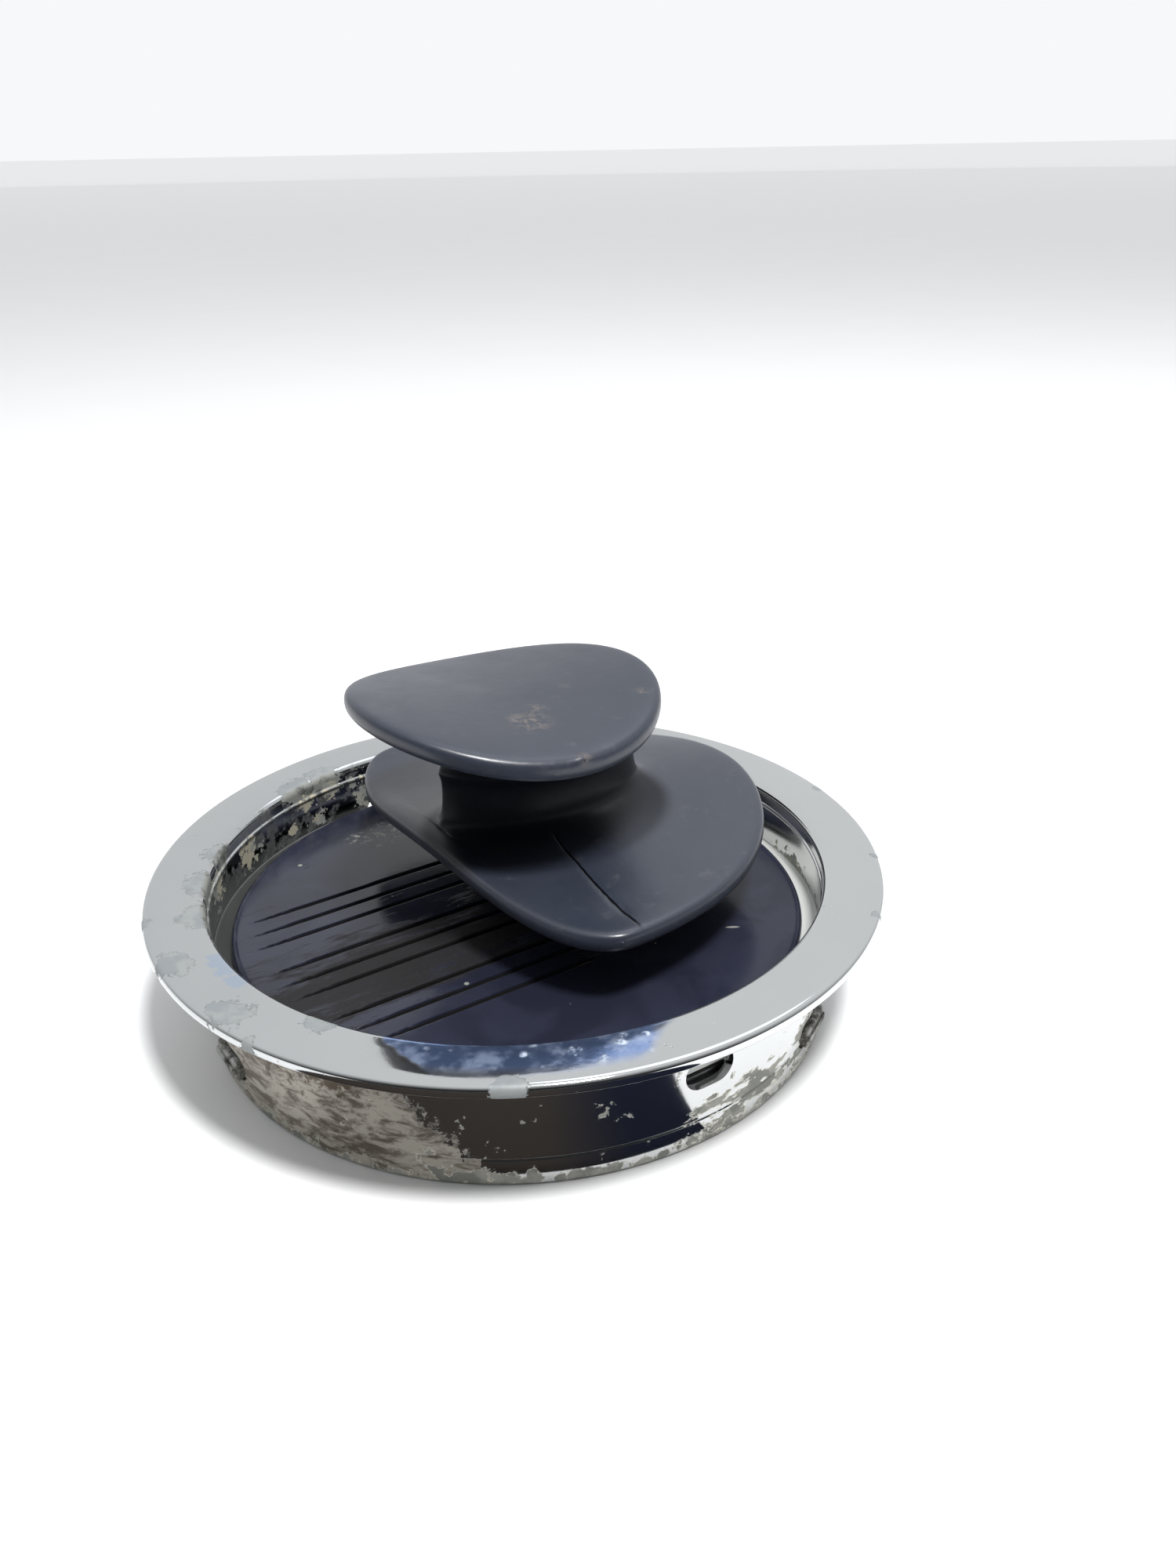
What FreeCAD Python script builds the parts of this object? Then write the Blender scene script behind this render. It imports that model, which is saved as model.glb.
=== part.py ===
import FreeCAD, Part
import Sketcher
import math
import os

# Floor drain ring with a lifting closure plate and a spool-shaped grip.
# Millimetres, +Z up, origin on the axis at the bottom of the skirt.

doc = FreeCAD.newDocument("floor_drain")
sheet = doc.addObject("Spreadsheet::Sheet", "Sizes")

SIZES = [
    # trim ring
    ("flange_radius", 57.5),
    ("body_height", 22.6),
    ("flange_thickness", 2.1),
    ("flange_edge_round", 0.9),
    ("skirt_radius", 49.6),
    ("skirt_wall", 1.4),
    ("wall_corner_round", 1.9),
    ("wall_bead_drop", 3.0),
    ("wall_bead_size", 0.35),
    ("seat_level", 12.7),
    ("seat_thickness", 1.6),
    ("seat_width", 7.7),
    ("skirt_line_level", 4.3),
    ("skirt_line_depth", 0.35),
    ("skirt_foot_round", 0.45),
    # slots and weep holes through the skirt
    ("slot_count", 3),
    ("slot_width", 9.6),
    ("slot_height", 4.4),
    ("slot_level", 5.1),
    ("weep_radius", 3.9),
    ("weep_drop", 7.4),
    ("weep_turn", 30),
    # plastic carrier inside the skirt
    ("carrier_gap", 0.3),
    ("hoop_thickness", 2.4),
    ("hoop_bottom", 0.8),
    ("hoop_top", 9.4),
    ("hub_wall", 1.6),
    ("hub_bottom", 1.6),
    ("hub_neck_step", 0.8),
    ("hub_neck_rise", 1.2),
    ("arm_width", 5.0),
    ("arm_bottom", 2.2),
    ("arm_top", 7.4),
    ("arm_seat_depth", 1.2),
    ("arm_seat_gap", 0.1),
    ("window_side_margin", 1.2),
    ("window_end_margin", 0.7),
    # snap clips
    ("tab_side_gap", 1.5),
    ("tab_end_gap", 0.9),
    ("tab_shift", 0.9),
    ("tab_proud", 0.02),
    ("clip_sheet", 0.7),
    ("leaf_end", 1.2),
    ("leaf_gap", 0.18),
    ("rivet_margin", 1.4),
    ("rivet_radius", 0.8),
    # strainer grate
    ("strainer_thickness", 1.0),
    ("strainer_gap", 0.6),
    ("strainer_hole_radius", 2.4),
    ("strainer_screw_inset", 9.5),
    ("small_screw_radius", 1.05),
    ("small_head_radius", 2.1),
    ("small_head_height", 1.0),
    ("small_screw_length", 4.4),
    # lifting collar
    ("lift_travel", 5.0),
    ("running_gap", 0.05),
    ("collar_radius", 6.0),
    ("collar_bottom", 2.3),
    ("collar_flange_width", 1.6),
    ("collar_flange_height", 0.8),
    ("guide_rib_width", 1.6),
    ("guide_rib_gap", 0.2),
    ("ring_section", 0.45),
    # stem
    ("stem_radius", 3.5),
    ("stem_bottom", 0.8),
    ("stem_thread_step", 1.0),
    ("stem_thread_length", 3.3),
    ("washer_thickness", 0.5),
    # closure disc
    ("disc_gap", 2.8),
    ("disc_stand", 0.5),
    ("disc_rim_height", 2.0),
    ("disc_crown", 0.4),
    ("disc_edge_round", 1.1),
    ("boss_rim", 1.55),
    ("boss_depth", 2.3),
    ("seal_width", 2.6),
    ("seal_inset", 1.2),
    ("seal_groove", 0.9),
    ("seal_lift", 0.3),
    ("pattern_turn", 29.5),
    ("groove_width", 1.25),
    ("groove_depth", 0.8),
    ("groove_pitch", 4.0),
    ("groove_group_pitch", 15.6),
    ("groove_shift", 2.4),
    ("groove_margin", 4.1),
    ("groove_taper", 11.0),
    # grip
    ("post_spread", 6.6),
    ("post_radius", 4.4),
    ("grip_screw_radius", 1.4),
    ("grip_screw_reach", 8.5),
    ("grip_head_radius", 2.6),
    ("grip_head_height", 1.5),
    ("grip_washer_thickness", 0.4),
    ("low_plate_rise", 13.5),
    ("low_plate_back", 43.0),
    ("low_plate_front", 10.8),
    ("low_plate_half", 34.2),
    ("low_plate_shift", -1.9),
    ("low_plate_edge", 1.7),
    ("low_plate_droop", 0.00673),
    ("low_plate_flare", 0.0000034),
    ("top_plate_rise", 33.8),
    ("top_plate_long", 21.9),
    ("top_plate_half", 20.4),
    ("top_plate_shift", -0.7),
    ("top_plate_edge", 1.8),
    ("top_plate_raise", 0.0039),
    ("top_plate_droop", 0.0040),
    ("top_plate_tilt", -0.05),
    ("neck_shift", 6.2),
    ("neck_side_shift", 2.0),
    ("neck_long", 16.6),
    ("neck_half", 8.4),
    ("neck_ridge", 0.8),
]

for row, (alias, number) in enumerate(SIZES, start=1):
    sheet.set("A%d" % row, alias)
    sheet.set("B%d" % row, str(number))
    sheet.setAlias("B%d" % row, alias)
doc.recompute()


class Size:
    """A number together with the sheet expression that gives it."""

    def __init__(self, number, text):
        self.number = number
        self.text = text

    def joined(self, other, sign, number):
        return Size(number, "(%s %s %s)" % (self.text, sign, other.text))

    def __add__(self, other):
        other = as_size(other)
        return self.joined(other, "+", self.number + other.number)

    def __radd__(self, other):
        return as_size(other) + self

    def __sub__(self, other):
        other = as_size(other)
        return self.joined(other, "-", self.number - other.number)

    def __rsub__(self, other):
        return as_size(other) - self

    def __mul__(self, other):
        other = as_size(other)
        return self.joined(other, "*", self.number * other.number)

    def __rmul__(self, other):
        return self * other

    def __truediv__(self, other):
        other = as_size(other)
        return self.joined(other, "/", self.number / other.number)

    def __neg__(self):
        return as_size(0) - self

    def root(self):
        return Size(math.sqrt(self.number), "sqrt(%s)" % self.text)

    def sine(self):
        return Size(math.sin(math.radians(self.number)), "sin(%s * 1 deg)" % self.text)

    def cosine(self):
        return Size(math.cos(math.radians(self.number)), "cos(%s * 1 deg)" % self.text)


def as_size(value):
    if isinstance(value, Size):
        return value
    return Size(float(value), repr(float(value)))


def size(alias):
    return Size(float(sheet.get(alias)), "Sizes." + alias)


def bind(thing, prop, value):
    thing.setExpression(prop, as_size(value).text)


# ---------------------------------------------------------------- helpers for bodies and sketches

NODES = []


def new_body(label):
    body = doc.addObject("PartDesign::Body", label)
    body.Label = label
    NODES.append(body)
    return body


def origin_feature(body, role):
    for feature in body.Origin.OriginFeatures:
        if feature.Role == role:
            return feature
    raise ValueError(role)


def sketch_on(body, name, role, offset=(0, 0, 0), turn=None, turn_axis=(0, 0, 1)):
    """A sketch on one of the body's own origin planes, shifted and turned in that plane's frame."""
    sketch = body.newObject("Sketcher::SketchObject", name)
    sketch.AttachmentSupport = [(origin_feature(body, role), "")]
    sketch.MapMode = "FlatFace"
    if turn is not None:
        rotation = FreeCAD.Rotation(FreeCAD.Vector(*turn_axis), as_size(turn).number)
        sketch.AttachmentOffset = FreeCAD.Placement(FreeCAD.Vector(), rotation)
        sketch.setExpression("AttachmentOffset.Rotation.Angle", "%s * 1 deg" % as_size(turn).text)
    for letter, value in zip("xyz", offset):
        bind(sketch, "AttachmentOffset.Base." + letter, value)
    return sketch


def place_vertex(sketch, geometry, vertex, corner):
    """Fix one end point by its two distances from the sketch origin."""
    for kind, value in zip(("DistanceX", "DistanceY"), corner):
        value = as_size(value)
        row = sketch.addConstraint(Sketcher.Constraint(kind, geometry, vertex, value.number))
        sketch.setExpression("Constraints[%d]" % row, value.text)


def polygon(sketch, corners):
    """A closed outline of straight lines whose corners all follow the sheet."""
    corners = [(as_size(x), as_size(y)) for x, y in corners]
    first = sketch.GeometryCount
    count = len(corners)
    for index, (x, y) in enumerate(corners):
        next_x, next_y = corners[(index + 1) % count]
        start = FreeCAD.Vector(x.number, y.number, 0)
        end = FreeCAD.Vector(next_x.number, next_y.number, 0)
        sketch.addGeometry(Part.LineSegment(start, end), False)
    for index in range(count):
        following = first + (index + 1) % count
        sketch.addConstraint(Sketcher.Constraint("Coincident", first + index, 2, following, 1))
    for index, corner in enumerate(corners):
        place_vertex(sketch, first + index, 1, corner)


def circle(sketch, x, y, radius):
    x, y, radius = as_size(x), as_size(y), as_size(radius)
    centre = FreeCAD.Vector(x.number, y.number, 0)
    index = sketch.addGeometry(Part.Circle(centre, FreeCAD.Vector(0, 0, 1), radius.number), False)
    row = sketch.addConstraint(Sketcher.Constraint("Radius", index, radius.number))
    sketch.setExpression("Constraints[%d]" % row, radius.text)
    place_vertex(sketch, index, 3, (x, y))


def obround(sketch, level, width, height):
    """An upright-centred slot outline: two half circles joined by two level lines."""
    reach = (width - height) / 2
    radius = height / 2
    centre_left = FreeCAD.Vector(-reach.number, level.number, 0)
    centre_right = FreeCAD.Vector(reach.number, level.number, 0)
    axis = FreeCAD.Vector(0, 0, 1)
    quarter = math.pi / 2
    left = Part.ArcOfCircle(Part.Circle(centre_left, axis, radius.number), quarter, 3 * quarter)
    right = Part.ArcOfCircle(Part.Circle(centre_right, axis, radius.number), -quarter, quarter)
    up = FreeCAD.Vector(0, radius.number, 0)
    first = sketch.addGeometry(left, False)
    sketch.addGeometry(Part.LineSegment(centre_left - up, centre_right - up), False)
    sketch.addGeometry(right, False)
    sketch.addGeometry(Part.LineSegment(centre_right + up, centre_left + up), False)
    for end_a, side_a, end_b, side_b in ((0, 2, 1, 1), (1, 2, 2, 1), (2, 2, 3, 1), (3, 2, 0, 1)):
        tangent = Sketcher.Constraint("Tangent", first + end_a, side_a, first + end_b, side_b)
        sketch.addConstraint(tangent)
    row = sketch.addConstraint(Sketcher.Constraint("Radius", first, radius.number))
    sketch.setExpression("Constraints[%d]" % row, radius.text)
    place_vertex(sketch, first, 3, (-reach, level))
    place_vertex(sketch, first + 2, 3, (reach, level))


def revolve(body, name, corners, cut=False):
    """A full turn about Z of an outline drawn in the XZ plane as (radius, level)."""
    sketch = sketch_on(body, name + "_outline", "XZ_Plane")
    polygon(sketch, corners)
    kind = "PartDesign::Groove" if cut else "PartDesign::Revolution"
    feature = body.newObject(kind, name)
    feature.Profile = sketch
    feature.ReferenceAxis = (sketch, ["V_Axis"])
    feature.Angle = 360
    sketch.Visibility = False
    doc.recompute()
    return feature


def pad(body, name, sketch, length):
    feature = body.newObject("PartDesign::Pad", name)
    feature.Profile = sketch
    bind(feature, "Length", length)
    doc.recompute()
    return feature


def pocket(body, name, sketch, length):
    feature = body.newObject("PartDesign::Pocket", name)
    feature.Profile = sketch
    bind(feature, "Length", length)
    doc.recompute()
    return feature


def polar(body, name, feature, count):
    pattern = body.newObject("PartDesign::PolarPattern", name)
    pattern.Originals = [feature]
    pattern.Axis = (origin_feature(body, "Z_Axis"), [""])
    pattern.Angle = 360
    if isinstance(count, Size):
        bind(pattern, "Occurrences", count)
    else:
        pattern.Occurrences = count
    body.Tip = pattern
    doc.recompute()
    return pattern


def ring_edges(feature, radius, level):
    """Names of the full circle edges of a feature that lie at a radius and a level."""
    names = []
    for index, edge in enumerate(feature.Shape.Edges, start=1):
        curve = edge.Curve
        if not isinstance(curve, Part.Circle):
            continue
        flat = abs(curve.Center.x) + abs(curve.Center.y) < 1e-6
        if flat and abs(curve.Radius - radius.number) < 1e-4 and abs(curve.Center.z - level.number) < 1e-4:
            names.append("Edge%d" % index)
    return names


def fillet(body, name, base, rings, radius):
    names = []
    for ring_radius, level in rings:
        names += ring_edges(base, as_size(ring_radius), as_size(level))
    feature = body.newObject("PartDesign::Fillet", name)
    feature.Base = (base, names)
    bind(feature, "Radius", radius)
    body.Tip = feature
    doc.recompute()
    return feature


# ---------------------------------------------------------------- helpers for primitives

def primitive(kind, name, sizes, base=(0, 0, 0)):
    thing = doc.addObject(kind, name)
    for prop, value in sizes.items():
        bind(thing, prop, value)
    for letter, value in zip("xyz", base):
        bind(thing, "Placement.Base." + letter, value)
    return thing


def joined(kind, label, things):
    whole = doc.addObject(kind, label)
    whole.Label = label
    if kind == "Part::Compound":
        whole.Links = things
    else:
        whole.Shapes = things
    return whole


def on_ring(radius, angle):
    """Plan position at a radius and an angle in degrees."""
    return as_size(radius) * as_size(angle).cosine(), as_size(radius) * as_size(angle).sine()


def washer(label, inner, outer, bottom, thickness):
    body = new_body(label)
    sketch = sketch_on(body, label + "_outline", "XY_Plane", (0, 0, bottom))
    circle(sketch, 0, 0, outer)
    circle(sketch, 0, 0, inner)
    pad(body, label + "_pad", sketch, thickness)
    return body


# ---------------------------------------------------------------- trim ring

flange_radius = size("flange_radius")
body_height = size("body_height")
flange_bottom = body_height - size("flange_thickness")
skirt_radius = size("skirt_radius")
wall_radius = skirt_radius - size("skirt_wall")
seat_level = size("seat_level")
seat_bottom = seat_level - size("seat_thickness")
seat_radius = wall_radius - size("seat_width")
line_level = size("skirt_line_level")
line_depth = size("skirt_line_depth")
bead_level = body_height - size("wall_bead_drop")
bead_size = size("wall_bead_size")
slot_count = size("slot_count")
slot_level = size("slot_level")


def build_trim_ring():
    body = new_body("trim_ring")
    foot_radius = skirt_radius - 0.5 * line_depth
    shape = revolve(body, "ring_turned", [
        (wall_radius, 0),
        (foot_radius, 0),
        (foot_radius, line_level - line_depth),
        (skirt_radius - line_depth, line_level),
        (skirt_radius, line_level + line_depth),
        (skirt_radius, flange_bottom),
        (flange_radius, flange_bottom),
        (flange_radius, body_height),
        (wall_radius, body_height),
        (wall_radius, bead_level + bead_size),
        (wall_radius - bead_size, bead_level),
        (wall_radius, bead_level - bead_size),
        (wall_radius, seat_level),
        (seat_radius, seat_level),
        (seat_radius, seat_bottom),
        (wall_radius, seat_bottom),
    ])
    shape = fillet(body, "ring_inner_corner", shape, [(wall_radius, body_height)],
                   size("wall_corner_round"))
    shape = fillet(body, "ring_outer_edge", shape,
                   [(flange_radius, body_height), (flange_radius, flange_bottom)],
                   size("flange_edge_round"))
    shape = fillet(body, "ring_foot", shape, [(wall_radius, 0), (foot_radius, 0)],
                   size("skirt_foot_round"))
    slot = sketch_on(body, "slot_outline", "XZ_Plane")
    obround(slot, slot_level, size("slot_width"), size("slot_height"))
    cut = pocket(body, "slot_cut", slot, flange_radius)
    polar(body, "slot_pattern", cut, slot_count)
    turn = size("weep_turn")
    start = wall_radius - 0.5
    weep = sketch_on(body, "weep_outline", "XZ_Plane",
                     (-(start * turn.sine()), 0, -(start * turn.cosine())), turn, (0, 1, 0))
    circle(weep, 0, flange_bottom - size("weep_drop"), size("weep_radius"))
    cut = pocket(body, "weep_cut", weep, 5)
    polar(body, "weep_pattern", cut, 2)


# ---------------------------------------------------------------- hoop and hub inside the skirt

hoop_outer = wall_radius - size("carrier_gap")
hoop_inner = hoop_outer - size("hoop_thickness")
hoop_bottom = size("hoop_bottom")
hoop_top = size("hoop_top")
running_gap = size("running_gap")
collar_radius = size("collar_radius")
collar_bottom = size("collar_bottom")
washer_thickness = size("washer_thickness")
disc_bottom = seat_level + size("disc_stand")
boss_bottom = disc_bottom - size("boss_depth")
collar_top = boss_bottom - washer_thickness - 2 * running_gap
collar_flange = collar_radius + size("collar_flange_width")
collar_flange_height = size("collar_flange_height")
lift_travel = size("lift_travel")
ring_section = size("ring_section")
neck_top = hoop_top + size("hub_neck_rise")
shoulder = collar_bottom + collar_flange_height + lift_travel + running_gap
rib_width = size("guide_rib_width")
rib_gap = size("guide_rib_gap")
rib_inner = collar_radius + 0.7
counterbore = collar_flange + rib_gap
hub_radius = counterbore + size("hub_wall")
hub_neck_radius = hub_radius - size("hub_neck_step")
lift_ring_level = (shoulder + neck_top) / 2
bore = collar_radius + running_gap
screw_circle = hoop_inner - size("strainer_screw_inset")
window_half = size("slot_width") / 2 + size("window_side_margin")
window_rise = size("slot_height") / 2 + size("window_end_margin")
rivet_spread = window_half + size("rivet_margin")
ARM_TURN = 30


def build_hub_spider():
    """Hub with three arms; the arm tips sit in seats in the hoop."""
    body = new_body("hub_spider")
    groove_radius = bore + 2 * ring_section
    half_groove = ring_section + running_gap
    revolve(body, "hub", [
        (hub_radius, size("hub_bottom")),
        (hub_radius, hoop_top),
        (hub_neck_radius, hoop_top),
        (hub_neck_radius, neck_top),
        (bore, neck_top),
        (bore, lift_ring_level + half_groove),
        (groove_radius, lift_ring_level + half_groove),
        (groove_radius, lift_ring_level - half_groove),
        (bore, lift_ring_level - half_groove),
        (bore, shoulder),
        (counterbore, shoulder),
        (counterbore, size("hub_bottom")),
    ])
    rib = sketch_on(body, "guide_rib_outline", "XY_Plane", (0, 0, size("hub_bottom")))
    rib_outer = (counterbore + hub_radius) / 2
    polygon(rib, [(rib_inner, -rib_width / 2), (rib_outer, -rib_width / 2),
                  (rib_outer, rib_width / 2), (rib_inner, rib_width / 2)])
    feature = pad(body, "guide_rib", rib, shoulder + 0.2 - size("hub_bottom"))
    polar(body, "guide_rib_pattern", feature, 2)
    arm = sketch_on(body, "arm_outline", "XY_Plane", (0, 0, size("arm_bottom")), ARM_TURN)
    half = size("arm_width") / 2
    arm_end = hoop_inner + size("arm_seat_depth") - 2 * size("arm_seat_gap")
    polygon(arm, [(rib_outer, -half), (arm_end, -half), (arm_end, half), (rib_outer, half)])
    feature = pad(body, "arm", arm, size("arm_top") - size("arm_bottom"))
    polar(body, "arm_pattern", feature, 3)
    boss = sketch_on(body, "screw_boss_outline", "XY_Plane", (0, 0, size("arm_top") - 0.2), ARM_TURN)
    circle(boss, screw_circle, 0, half)
    feature = pad(body, "screw_boss", boss, hoop_top - size("arm_top") + 0.2)
    polar(body, "screw_boss_pattern", feature, 3)
    hole = sketch_on(body, "screw_hole_outline", "XY_Plane", (0, 0, hoop_top), ARM_TURN)
    circle(hole, screw_circle, 0, size("small_screw_radius"))
    feature = pocket(body, "screw_hole", hole, size("small_screw_length"))
    polar(body, "screw_hole_pattern", feature, 3)


def build_clip_hoop():
    """Hoop inside the skirt, with a window behind each slot and a seat for each arm tip."""
    body = new_body("clip_hoop")
    revolve(body, "hoop", [(hoop_inner, hoop_bottom), (hoop_outer, hoop_bottom),
                           (hoop_outer, hoop_top), (hoop_inner, hoop_top)])
    seat = sketch_on(body, "arm_seat_outline", "XY_Plane",
                     (0, 0, size("arm_top") + size("arm_seat_gap")), ARM_TURN)
    half = size("arm_width") / 2 + size("arm_seat_gap")
    seat_end = hoop_inner + size("arm_seat_depth")
    polygon(seat, [(hoop_inner - 2, -half), (seat_end, -half), (seat_end, half), (hoop_inner - 2, half)])
    feature = pocket(body, "arm_seat", seat, size("arm_top"))
    polar(body, "arm_seat_pattern", feature, 3)
    window = sketch_on(body, "window_outline", "XZ_Plane", (0, 0, 5 - hoop_inner))
    polygon(window, [(-window_half, slot_level - window_rise), (window_half, slot_level - window_rise),
                     (window_half, slot_level + window_rise), (-window_half, slot_level + window_rise)])
    feature = pocket(body, "window", window, 15)
    polar(body, "window_pattern", feature, slot_count)
    rivets = sketch_on(body, "rivet_hole_outline", "XZ_Plane", (0, 0, 5 - hoop_inner))
    for side in (-1, 1):
        circle(rivets, side * rivet_spread, slot_level, size("rivet_radius"))
    feature = pocket(body, "rivet_hole", rivets, 15)
    polar(body, "rivet_hole_pattern", feature, slot_count)


# ---------------------------------------------------------------- snap clips in the slots

leaf_half = rivet_spread + size("leaf_end")
leaf_inset = (hoop_inner * hoop_inner - leaf_half * leaf_half).root() - size("leaf_gap")
tab_half = size("slot_width") / 2 - size("tab_side_gap")
tab_rise = size("slot_height") / 2 - size("tab_end_gap")
clip_sheet = size("clip_sheet")
CLIP_ANGLES = {"snap_clip_back": 90, "snap_clip_left": 210, "snap_clip_right": 330}


def build_snap_clip(label, angle):
    """A sprung leaf behind the hoop with a folded tab that reaches out through the slot."""
    tab_reach = skirt_radius + size("tab_proud") - leaf_inset
    leaf = primitive("Part::Box", label + "_leaf",
                     {"Length": clip_sheet, "Width": 2 * leaf_half, "Height": 2 * tab_rise},
                     (leaf_inset - clip_sheet, -leaf_half, slot_level - tab_rise))
    tab = primitive("Part::Box", label + "_tab",
                    {"Length": tab_reach + 0.1, "Width": 2 * tab_half, "Height": 2 * tab_rise},
                    (leaf_inset - 0.1, size("tab_shift") - tab_half, slot_level - tab_rise))
    fold = primitive("Part::Box", label + "_fold",
                     {"Length": tab_reach, "Width": 2 * tab_half - clip_sheet,
                      "Height": 2 * tab_rise - 1.6 * clip_sheet},
                     (leaf_inset + 2, size("tab_shift") - tab_half, slot_level - tab_rise + 0.8 * clip_sheet))
    rivet_pair = []
    for side in (-1, 1):
        rivet = primitive("Part::Cylinder", label + "_rivet_hole",
                          {"Radius": size("rivet_radius"), "Height": 4},
                          (leaf_inset - 2, side * rivet_spread, slot_level))
        rivet.Placement.Rotation = FreeCAD.Rotation(FreeCAD.Vector(0, 1, 0), 90)
        rivet_pair.append(rivet)
    plate = joined("Part::MultiFuse", label + "_plate", [leaf, tab])
    tools = joined("Part::MultiFuse", label + "_tools", [fold] + rivet_pair)
    clip = doc.addObject("Part::Cut", label)
    clip.Label = label
    clip.Base = plate
    clip.Tool = tools
    clip.Placement.Rotation = FreeCAD.Rotation(FreeCAD.Vector(0, 0, 1), angle)
    NODES.append(clip)


def build_clip_rivets():
    """Six rivets, each with a head on the leaf, through the hoop."""
    rivet_radius = size("rivet_radius")
    spread = rivet_spread
    tail = (hoop_outer * hoop_outer - spread * spread).root() - 0.3
    head_bottom = leaf_inset - clip_sheet - 0.5
    groups = []
    for index, angle in enumerate(CLIP_ANGLES.values()):
        for side in (-1, 1):
            name = "rivet_%d_%d" % (index, side + 1)
            shank = primitive("Part::Cylinder", name + "_shank",
                              {"Radius": rivet_radius, "Height": tail - head_bottom},
                              (head_bottom, side * spread, slot_level))
            head = primitive("Part::Cylinder", name + "_head",
                             {"Radius": 1.7 * rivet_radius, "Height": 0.5},
                             (head_bottom, side * spread, slot_level))
            for thing in (shank, head):
                thing.Placement.Rotation = FreeCAD.Rotation(FreeCAD.Vector(0, 1, 0), 90)
            rivet = joined("Part::MultiFuse", name, [shank, head])
            rivet.Placement.Rotation = FreeCAD.Rotation(FreeCAD.Vector(0, 0, 1), angle)
            groups.append(rivet)
    NODES.append(joined("Part::Compound", "clip_rivets", groups))


# ---------------------------------------------------------------- strainer grate and its screws

strainer_top = hoop_top + size("strainer_thickness")
STRAINER_RINGS = ((15.0, 9), (22.0, 15), (29.0, 20))


def build_strainer():
    body = new_body("strainer_grate")
    plate = sketch_on(body, "plate_outline", "XY_Plane", (0, 0, hoop_top))
    circle(plate, 0, 0, wall_radius - size("strainer_gap"))
    circle(plate, 0, 0, hub_neck_radius + 0.15)
    pad(body, "plate", plate, size("strainer_thickness"))
    hole_radius = size("strainer_hole_radius")
    for index, (ring_radius, count) in enumerate(STRAINER_RINGS):
        hole = sketch_on(body, "hole_ring_%d_outline" % index, "XY_Plane", (0, 0, strainer_top))
        circle(hole, ring_radius, 0, hole_radius)
        feature = pocket(body, "hole_ring_%d" % index, hole, size("strainer_thickness") + 1)
        polar(body, "hole_ring_%d_pattern" % index, feature, count)
    sector = sketch_on(body, "outer_holes_outline", "XY_Plane", (0, 0, strainer_top), ARM_TURN)
    spaces = 10
    for step in range(1, spaces):
        x, y = on_ring(screw_circle, 120.0 * step / spaces)
        circle(sector, x, y, hole_radius)
    circle(sector, screw_circle, 0, size("small_screw_radius") + 0.15)
    feature = pocket(body, "outer_holes", sector, size("strainer_thickness") + 1)
    polar(body, "outer_holes_pattern", feature, 3)


def screw(name, x, y, shank_radius, shank_bottom, shank_top, head_radius, head_bottom, head_top):
    shank = primitive("Part::Cylinder", name + "_shank",
                      {"Radius": shank_radius, "Height": shank_top - shank_bottom}, (x, y, shank_bottom))
    head = primitive("Part::Cylinder", name + "_head",
                     {"Radius": head_radius, "Height": head_top - head_bottom}, (x, y, head_bottom))
    return joined("Part::MultiFuse", name, [shank, head])


def build_strainer_screws():
    screws = []
    for index in range(3):
        x, y = on_ring(screw_circle, ARM_TURN + 120.0 * index)
        bottom = hoop_top - size("small_screw_length") + 0.3
        screws.append(screw("strainer_screw_%d" % index, x, y, size("small_screw_radius"), bottom,
                            strainer_top + 0.2, size("small_head_radius"), strainer_top,
                            strainer_top + size("small_head_height")))
    NODES.append(joined("Part::Compound", "strainer_screws", screws))


# ---------------------------------------------------------------- lifting collar, stem and rings

stem_radius = size("stem_radius")
stem_bottom = size("stem_bottom")
thread_radius = stem_radius - size("stem_thread_step")
stem_ring_level = (collar_bottom + collar_top) / 2
clip_top = collar_bottom - running_gap - washer_thickness - running_gap
clip_bottom = clip_top - washer_thickness + 2 * running_gap
clip_floor = stem_radius - 0.6


def build_lift_collar():
    body = new_body("lift_collar")
    revolve(body, "sleeve", [
        (stem_radius + running_gap, collar_bottom),
        (collar_flange, collar_bottom),
        (collar_flange, collar_bottom + collar_flange_height),
        (collar_radius, collar_bottom + collar_flange_height),
        (collar_radius, collar_top),
        (stem_radius + running_gap, collar_top),
    ])
    notch = sketch_on(body, "notch_outline", "XY_Plane", (0, 0, collar_bottom + collar_flange_height))
    half = rib_width / 2 + rib_gap
    floor = rib_inner - rib_gap
    polygon(notch, [(floor, -half), (counterbore, -half), (counterbore, half), (floor, half)])
    feature = pocket(body, "notch", notch, collar_flange_height)
    polar(body, "notch_pattern", feature, 2)


def build_stem():
    body = new_body("stem")
    ring_floor = stem_radius - 2 * ring_section
    half_groove = ring_section + running_gap
    revolve(body, "stem_turned", [
        (0, stem_bottom),
        (stem_radius - 0.3, stem_bottom),
        (stem_radius, stem_bottom + 0.25),
        (stem_radius, clip_bottom - running_gap),
        (clip_floor, clip_bottom - running_gap),
        (clip_floor, clip_top + running_gap),
        (stem_radius, clip_top + running_gap),
        (stem_radius, stem_ring_level - half_groove),
        (ring_floor, stem_ring_level - half_groove),
        (ring_floor, stem_ring_level + half_groove),
        (stem_radius, stem_ring_level + half_groove),
        (stem_radius, boss_bottom),
        (thread_radius, boss_bottom),
        (thread_radius, boss_bottom + size("stem_thread_length") - 0.4),
        (thread_radius - 0.3, boss_bottom + size("stem_thread_length")),
        (0, boss_bottom + size("stem_thread_length")),
    ])


def build_rubber_ring(label, middle_radius, level):
    ring = primitive("Part::Torus", label, {"Radius1": middle_radius, "Radius2": ring_section},
                     (0, 0, level))
    ring.Label = label
    NODES.append(ring)


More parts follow.
